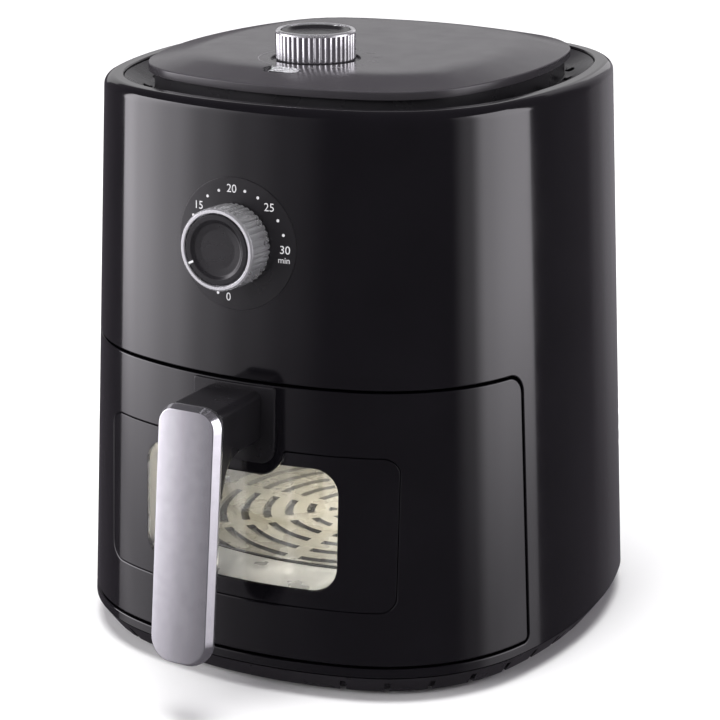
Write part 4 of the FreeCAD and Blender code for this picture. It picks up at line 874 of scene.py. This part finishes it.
def plate_height(inset):
    """Height and slope of the top plate's upper side: a long chamfer that flows into the flat middle."""
    steep = (PLATE_FLAT - PLATE_EDGE_Z) / (PLATE_FLAT_INSET - PLATE_EDGE_INSET)
    start = PLATE_FLAT_INSET - PLATE_BLEND
    line = PLATE_EDGE_Z + (inset - PLATE_EDGE_INSET) * steep
    along = np.clip((inset - start) / (2 * PLATE_BLEND), 0, 1)
    curved = (PLATE_EDGE_Z + (start - PLATE_EDGE_INSET) * steep
              + steep * 2 * PLATE_BLEND * (along - along ** 2 / 2))
    return np.where(inset < start, line, curved), np.where(inset < start, steep, steep * (1 - along))


PLATE_SURFACE = PlanTop(plate_height)
SEAT_RADIUS, SEAT_DEEP, SHAFT_HOLE = 22.3, 1.2, 4.2
LAMP_HALF, LAMP_DEEP = 10.0, 3.8


def circle(radius, centre=(0, 0), count=96):
    angles = np.linspace(0, 2 * math.pi, count, endpoint=False)
    return np.column_stack([centre[0] + radius * np.cos(angles), centre[1] + radius * np.sin(angles)])


def lamp_loop():
    """The slot in the plate that the indicator's lens fills."""
    radius = LAMP_DEEP - 0.3
    return oblong(-LAMP_HALF, LAMP_Y - LAMP_DEEP, LAMP_HALF, LAMP_Y + LAMP_DEEP, radius, radius, 1.5)


def top_plate():
    bag = Bag()
    steep = plate_height(np.array([PLATE_EDGE_INSET]))[1][0]
    inner = PLATE_EDGE_INSET + PLATE_ROUND
    ring_rows(bag, profile([(-PLATE_EDGE_INSET - PLATE_WALL, PLATE_LOW), (-PLATE_EDGE_INSET, PLATE_LOW),
                            (-PLATE_EDGE_INSET, PLATE_EDGE_Z), (-inner, PLATE_EDGE_Z + PLATE_ROUND * steep)],
                           [0, 0.4, 0.9, 0], 6))
    loops = [in_plan(round_path(RING_COUNT), inner), circle(SEAT_RADIUS, (0, DIAL_Y)), lamp_loop()]
    plate(bag, PLATE_SURFACE, loops, 0, 2.2, rounding(0.5, 3), spacing=(5, 5), wall=False)
    seat = Matrix.Translation((0, DIAL_Y, 0))
    floor = PLATE_FLAT - SEAT_DEEP
    lathe(bag, [(SEAT_RADIUS + 0.2, floor, 0, 1), (SHAFT_HOLE, floor, 0, 1)], seat)
    piece(bag, "top_cover", "top_satin", "housing", ["top_plate"])


top_plate()

# ---------------------------------------------------------------- channel round the top plate


CHANNEL_LOW, CHANNEL_HIGH = (corner.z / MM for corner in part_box("top_vent_ring"))
CHANNEL_START, CHANNEL_FOOT, CHANNEL_WALL = 23.6, 35.5, 38.8
CHANNEL_TOP, CHANNEL_SLOPE = SHELL_TOP - 1.2, 0.55
AIR_SLOTS, AIR_SLOT_HALF, AIR_SLOT_START, AIR_SLOT_END = 24, 5.0, 33.0, 37.5


def channel_height(inset):
    """Height and slope of the channel: it falls from the rim towards the plate, then runs level."""
    height = CHANNEL_TOP - (np.minimum(inset, CHANNEL_FOOT) - CHANNEL_START) * CHANNEL_SLOPE
    return height, np.where(inset < CHANNEL_FOOT - 0.5, -CHANNEL_SLOPE, 0.0)


def vent_channel():
    """The dark channel with its air slots, and the upright wall that carries the top plate."""
    bag = Bag()
    path = round_path(RING_COUNT // 2)
    loops = [in_plan(path, CHANNEL_START), in_plan(path, CHANNEL_WALL)]
    along = AIR_SLOT_HALF * np.array([-1, 1, 1, -1])
    across = np.array([AIR_SLOT_START, AIR_SLOT_START, AIR_SLOT_END, AIR_SLOT_END])
    for i in range(AIR_SLOTS):
        spots = in_plan(ROUND * (i + 0.5) / AIR_SLOTS + along, across)
        loops.append(closed_loop([(*spot, 1.5) for spot in spots]))
    plate(bag, PlanTop(channel_height), loops, 0, 2.0, rounding(0.3, 2), spacing=(5, 5))
    ring_rows(bag, profile([(-CHANNEL_WALL, CHANNEL_LOW + 3), (-CHANNEL_WALL, CHANNEL_HIGH),
                            (-CHANNEL_WALL - 2, CHANNEL_HIGH)], 0))
    piece(bag, "vent_channel", "dark_vent", "housing", ["top_vent_ring"])


vent_channel()

# ---------------------------------------------------------------- dials


KNOB_RADIUS, POINTER_HALF = 20.0, 0.55
FLUTE_DEEP = 0.65
BEZEL_RADIUS, BEZEL_THICK = 32.3, 0.4


def flute_depth(angles):
    """How deep the grip's valleys cut at an angle, between ridges with rounded backs."""
    pitch = 2 * math.pi / FLUTES
    away = np.abs((angles + pitch / 2) % pitch - pitch / 2) / (pitch / 2)
    return FLUTE_DEEP * (1 - away) ** 2


def knob(dial, place, top, pointer, grip):
    """A fluted bright knob with a polished front ring, a dished black cap and a white pointer.

    The pointer is its angle and the radii where it starts and ends."""
    name, radius = f"{dial}_dial", KNOB_RADIUS
    bag = Bag()
    grip_top = top - 1.6
    outline = profile([(radius - 2.8, 0.2), (radius - 0.6, 0.2), (radius, 0.8), (radius, grip_top)], 0)
    entries = [(*entry, 1.0) for entry in outline]
    entries += [(radius - 0.75, grip_top, 0, 1), (radius - 2.6, grip_top, 0, 1)]
    lathe(bag, entries, place, FLUTES * 12, flute_depth)
    piece(bag, f"{name}_grip", grip, name, [f"{dial}_knob"], sharp_angle=40)
    bag = Bag()
    lathe(bag, profile([(radius - 0.1, grip_top), (radius - 0.1, top - 0.75), (radius - 0.85, top),
                        (radius - 2.1, top), (radius - 2.5, top - 0.4), (radius - 2.5, grip_top)],
                       [0, 0.2, 0.2, 0.15, 0.15, 0], 3), place, 144)
    piece(bag, f"{name}_ring", "satin_chrome", name, [f"{dial}_knob_ring"])
    bag = Bag()
    rim = radius - 2.7
    lathe(bag, profile([(rim, top - 2.5), (rim, top - 0.9), (rim - 0.6, top - 0.32), (rim - 2.9, top - 0.32),
                        (rim - 4.6, top - 1.5), (rim - 8, top - 1.85), (0.05, top - 1.9)],
                       [0, 0.3, 0.4, 0.7, 1.6, 3.0, 0]), place, 144)
    piece(bag, f"{name}_cap", "knob_cap", name, [f"{dial}_knob_cap"])
    bag = Bag()
    angle, inner, outer = pointer
    turn = place @ Matrix.Rotation(angle, 4, "Z")
    rotation, centre = np.array(turn.to_3x3()), np.array(turn.translation)
    surface = Plane(centre + rotation @ np.array([0, 0, top - 0.27]), rotation @ np.array([1, 0, 0]),
                    rotation @ np.array([0, 1, 0]))
    strip = oblong(inner, -POINTER_HALF, outer, POINTER_HALF, 0.2, 0.2, 1.0)
    plate(bag, surface, [strip], 0, 0.25, rounding(0.08, 2), spacing=(2, 2))
    piece(bag, f"{name}_pointer", "print_white", name)


DIAL_SEAT = Matrix.Translation((0, DIAL_Y, PLATE_FLAT - SEAT_DEEP))
TIMER_WALL_Y = -(HALF_DEPTH - lean_in(TIMER_Z)) - BEZEL_THICK
TIMER_AXIS = Matrix.Translation((0, TIMER_WALL_Y, TIMER_Z)) @ Matrix.Rotation(math.pi / 2 - LEAN, 4, "X")


def clock(degrees):
    """A clock angle seen from the front, as an angle about a dial's own axis."""
    return math.radians(90 - degrees)


knob("temperature", DIAL_SEAT, 15.6, (clock(10), 14.6, 17.0), "chrome")
knob("timer", TIMER_AXIS, 17.3, (clock(242), 14.4, 17.2), "satin_chrome")


def bezel():
    bag = Bag()
    disc = circle(BEZEL_RADIUS, count=144)
    loop = CASING.from_front(np.column_stack([disc[:, 0], TIMER_Z + disc[:, 1] * math.cos(LEAN)]))
    plate(bag, CASING, [loop], -BEZEL_THICK, 0.0, rounding(0.25, 3), spacing=(4, 4))
    piece(bag, "timer_scale_disc", "black_plastic", "housing", ["timer_bezel"])


bezel()


# ---------------------------------------------------------------- printed marks


def text_triangles(body, size):
    """A word's filled outlines as flat points and triangles, centred on the origin."""
    curve = bpy.data.curves.new("mark", "FONT")
    curve.body, curve.size = body, size
    curve.align_x, curve.align_y = "CENTER", "CENTER"
    holder = bpy.data.objects.new("mark", curve)
    mesh = bpy.data.meshes.new_from_object(holder)
    flat = np.array([vertex.co[:2] for vertex in mesh.vertices])
    faces = [tuple(polygon.vertices) for polygon in mesh.polygons]
    bpy.data.objects.remove(holder)
    bpy.data.curves.remove(curve)
    bpy.data.meshes.remove(mesh)
    return flat, faces


def print_marks(name, surface, to_surface, marks, height, material):
    """Prints marks on a surface of the housing; each is flat points, faces and a place."""
    bag = Bag()
    for flat, faces, place in marks:
        spot = to_surface(flat + np.array(place))
        members = bag.add(surface.points(spot, -height), surface.normals(spot))
        for face in faces:
            bag.face([members[i] for i in face])
    piece(bag, name, material, "housing")


def dot(radius, count=16):
    return circle(radius, count=count), [tuple(range(count))]


def arc_stroke(radius, half, start, end, count=40):
    """A thin printed arc between two angles in degrees."""
    angles = np.radians(np.linspace(start, end, count))
    ring = [np.column_stack([r * np.cos(angles), r * np.sin(angles)]) for r in (radius - half, radius + half)]
    return np.concatenate(ring), [(i, i + 1, count + i + 1, count + i) for i in range(count - 1)]


TIMER_CLOCKS = [187, 227, 268, 308, 355.7, 403.3, 451]
TIMER_REACH, SCALE_REACH = 26.6, 30


def around(reach, angle, centre_y=0):
    return reach * math.cos(angle), centre_y + reach * math.sin(angle)


def timer_marks():
    """Minutes round the timer: a number every five minutes and two dots between them."""
    marks = []
    for i, degrees in enumerate(TIMER_CLOCKS):
        marks.append((*text_triangles(str(5 * i), 5.6), around(TIMER_REACH, clock(degrees))))
        for third in (1, 2) if i < len(TIMER_CLOCKS) - 1 else ():
            between = degrees + (TIMER_CLOCKS[i + 1] - degrees) * third / 3
            marks.append((*dot(0.75), around(TIMER_REACH, clock(between))))
    marks.append((*text_triangles("min", 4.2), (26.2, -5.4)))

    def on_wall(flat):
        return CASING.from_front(np.column_stack([flat[:, 0], TIMER_Z + flat[:, 1]]))

    print_marks("timer_scale", CASING, on_wall, marks, 0.43, "print_white")


def temperature_marks():
    """Temperatures round the top dial, from 80 to 200, and a thin arc beside it."""
    marks = [(*arc_stroke(28.5, 0.35, 125, 250), (0, DIAL_Y))]
    for i, degrees in enumerate(range(80, 201, 20)):
        angle = math.radians(-65 + 24 * i)
        marks.append((*text_triangles(str(degrees), 4.2), around(SCALE_REACH, angle, DIAL_Y)))
    print_marks("temperature_scale", PLATE_SURFACE, lambda flat: flat, marks, 0.03, "print_grey")


timer_marks()
temperature_marks()

# ---------------------------------------------------------------- floor, light and camera


FLOOR_HALF = 6.0


def studio_floor():
    mesh = bpy.data.meshes.new("studio_floor")
    corners = [(x * FLOOR_HALF, y * FLOOR_HALF, 0.0) for x, y in ((-1, -1), (1, -1), (1, 1), (-1, 1))]
    mesh.from_pydata(corners, [], [(0, 1, 2, 3)])
    thing = bpy.data.objects.new("studio_floor", mesh)
    bpy.context.scene.collection.objects.link(thing)
    finish = Finish("floor_paper")
    finish.colours(finish.noise(400, 2), (0.90, 0.90, 0.90), (0.93, 0.93, 0.93))
    finish.rough(finish.noise(40, 3), 0.8, 0.9)
    thing.data.materials.append(finish.material)
    thing.visible_glossy = False


def world():
    """White to the camera, and a dim even fill for everything else."""
    scene_world = bpy.data.worlds.new("studio")
    bpy.context.scene.world = scene_world
    scene_world.use_nodes = True
    nodes, links = scene_world.node_tree.nodes, scene_world.node_tree.links
    nodes.clear()
    seen = nodes.new("ShaderNodeLightPath").outputs["Is Camera Ray"]
    white, dim = nodes.new("ShaderNodeBackground"), nodes.new("ShaderNodeBackground")
    white.inputs["Color"].default_value = (1, 1, 1, 1)
    dim.inputs["Color"].default_value = (0.95, 0.86, 1.0, 1)
    dim.inputs["Strength"].default_value = 0.085
    mix, output = nodes.new("ShaderNodeMixShader"), nodes.new("ShaderNodeOutputWorld")
    links.new(seen, mix.inputs["Fac"])
    links.new(dim.outputs["Background"], mix.inputs[1])
    links.new(white.outputs["Background"], mix.inputs[2])
    links.new(mix.outputs["Shader"], output.inputs["Surface"])


def looking(place, aim):
    """The matrix of something that stands at a place and looks at an aim."""
    turn = (Vector(aim) - Vector(place)).to_track_quat("-Z", "Y")
    return Matrix.Translation(place) @ turn.to_matrix().to_4x4()


def area_light(name, place, aim, size, power, colour=(1, 1, 1), glossy=True, diffuse=True):
    light = bpy.data.lights.new(name, "AREA")
    light.shape, light.size, light.size_y = "RECTANGLE", size[0], size[1]
    light.energy, light.color = power, colour
    thing = bpy.data.objects.new(name, light)
    bpy.context.scene.collection.objects.link(thing)
    thing.matrix_world = looking(place, aim)
    thing.visible_camera = False
    thing.visible_glossy = glossy
    thing.visible_diffuse = diffuse
    return thing


def graded(light, across, upward):
    """Makes a lamp fade over its face. Both profiles are stops from one edge to the other."""
    light.use_nodes = True
    nodes, links = light.node_tree.nodes, light.node_tree.links
    spot = nodes.new("ShaderNodeSeparateXYZ")
    links.new(nodes.new("ShaderNodeNewGeometry").outputs["Parametric"], spot.inputs["Vector"])
    product = nodes.new("ShaderNodeMath")
    product.operation = "MULTIPLY"
    for i, (axis, stops) in enumerate((("X", across), ("Y", upward))):
        node = nodes.new("ShaderNodeValToRGB")
        ramp = node.color_ramp
        ramp.interpolation = "EASE"
        for j, (position, amount) in enumerate(stops):
            element = ramp.elements[j] if j < 2 else ramp.elements.new(position)
            element.position = position
            element.color = (amount, amount, amount, 1)
        links.new(spot.outputs[axis], node.inputs["Fac"])
        links.new(node.outputs["Color"], product.inputs[i])
    links.new(product.outputs["Value"], nodes["Emission"].inputs["Strength"])


FLOORWARD = [(0.0, 0.1), (0.12, 0.24), (0.34, 0.88), (0.5, 1.0)]
PANEL_DISTANCE, PANEL_FOOT, PANEL_HEAD = 2.0, -1.0, 1.6
PANEL_COLOUR = (0.98, 0.945, 1.0)


def standing_panel(name, first, last, radiance, stops):
    """A tall soft panel round the object between two azimuths, in degrees from the front towards +X.

    Each stop is an azimuth and the share of the radiance there."""
    middle, half = math.radians((first + last) / 2), math.radians((last - first) / 2)
    centre = (PANEL_FOOT + PANEL_HEAD) / 2
    place = (PANEL_DISTANCE * math.sin(middle), -PANEL_DISTANCE * math.cos(middle), centre)
    wide, tall = 2 * PANEL_DISTANCE * math.tan(half), PANEL_HEAD - PANEL_FOOT
    power = radiance * math.pi * wide * tall
    thing = area_light(name, place, (0, 0, centre), (wide, tall), power, PANEL_COLOUR)
    across = [(0.5 + PANEL_DISTANCE * math.tan(math.radians(azimuth) - middle) / wide, share)
              for azimuth, share in stops]
    graded(thing.data, sorted(across), FLOORWARD)


def lights():
    standing_panel("left_panel", -84, 0, 3.9, [(-84, 0.86), (-74, 1.0), (-64, 0.9), (-51, 0.6), (-39, 0.28),
                                               (-26, 0.12), (-13, 0.05), (0, 0.0)])
    standing_panel("right_panel", 70, 128, 2.75, [(70, 0.0), (84, 0.22), (97, 0.9), (111, 1.0), (128, 0.95)])
    standing_panel("edge_panel", 156, 190, 0.27, [(156, 0.0), (164, 0.5), (174, 1.0), (190, 1.0)])
    area_light("back_panel", (-1.3, 2.3, 0.95), (0, 0, 0.3), (3.0, 1.0), 0.45 * math.pi * 3.0, diffuse=False)
    sun = bpy.data.lights.new("ceiling", "SUN")
    sun.energy, sun.angle = 3.5, math.radians(36)
    ceiling = bpy.data.objects.new("ceiling", sun)
    bpy.context.scene.collection.objects.link(ceiling)
    ceiling.visible_glossy = False
    area_light("front_fill", (-0.6, -2.6, 1.6), (0, 0, 0.1), (1.6, 1.6), 40, glossy=False)
    inside_pot = (0, 0.01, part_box("pot")[1].z - 0.012)
    pot_lamp = area_light("pot_lamp", inside_pot, (0, 0, 0), (0.11, 0.11), 0.60, (1.0, 0.94, 0.84))
    pot_lamp.data.spread = math.radians(110)


def camera():
    view = bpy.data.cameras.new("camera")
    view.lens, view.sensor_width = 116.28, 36.0
    view.shift_x, view.shift_y = -0.0038, 0.0012
    thing = bpy.data.objects.new("camera", view)
    bpy.context.scene.collection.objects.link(thing)
    thing.matrix_world = looking((0.5614, -1.0520, 0.5008), (0, 0, 0.1319))
    bpy.context.scene.camera = thing


studio_floor()
world()
lights()
camera()
bpy.context.scene.view_settings.view_transform = "Standard"
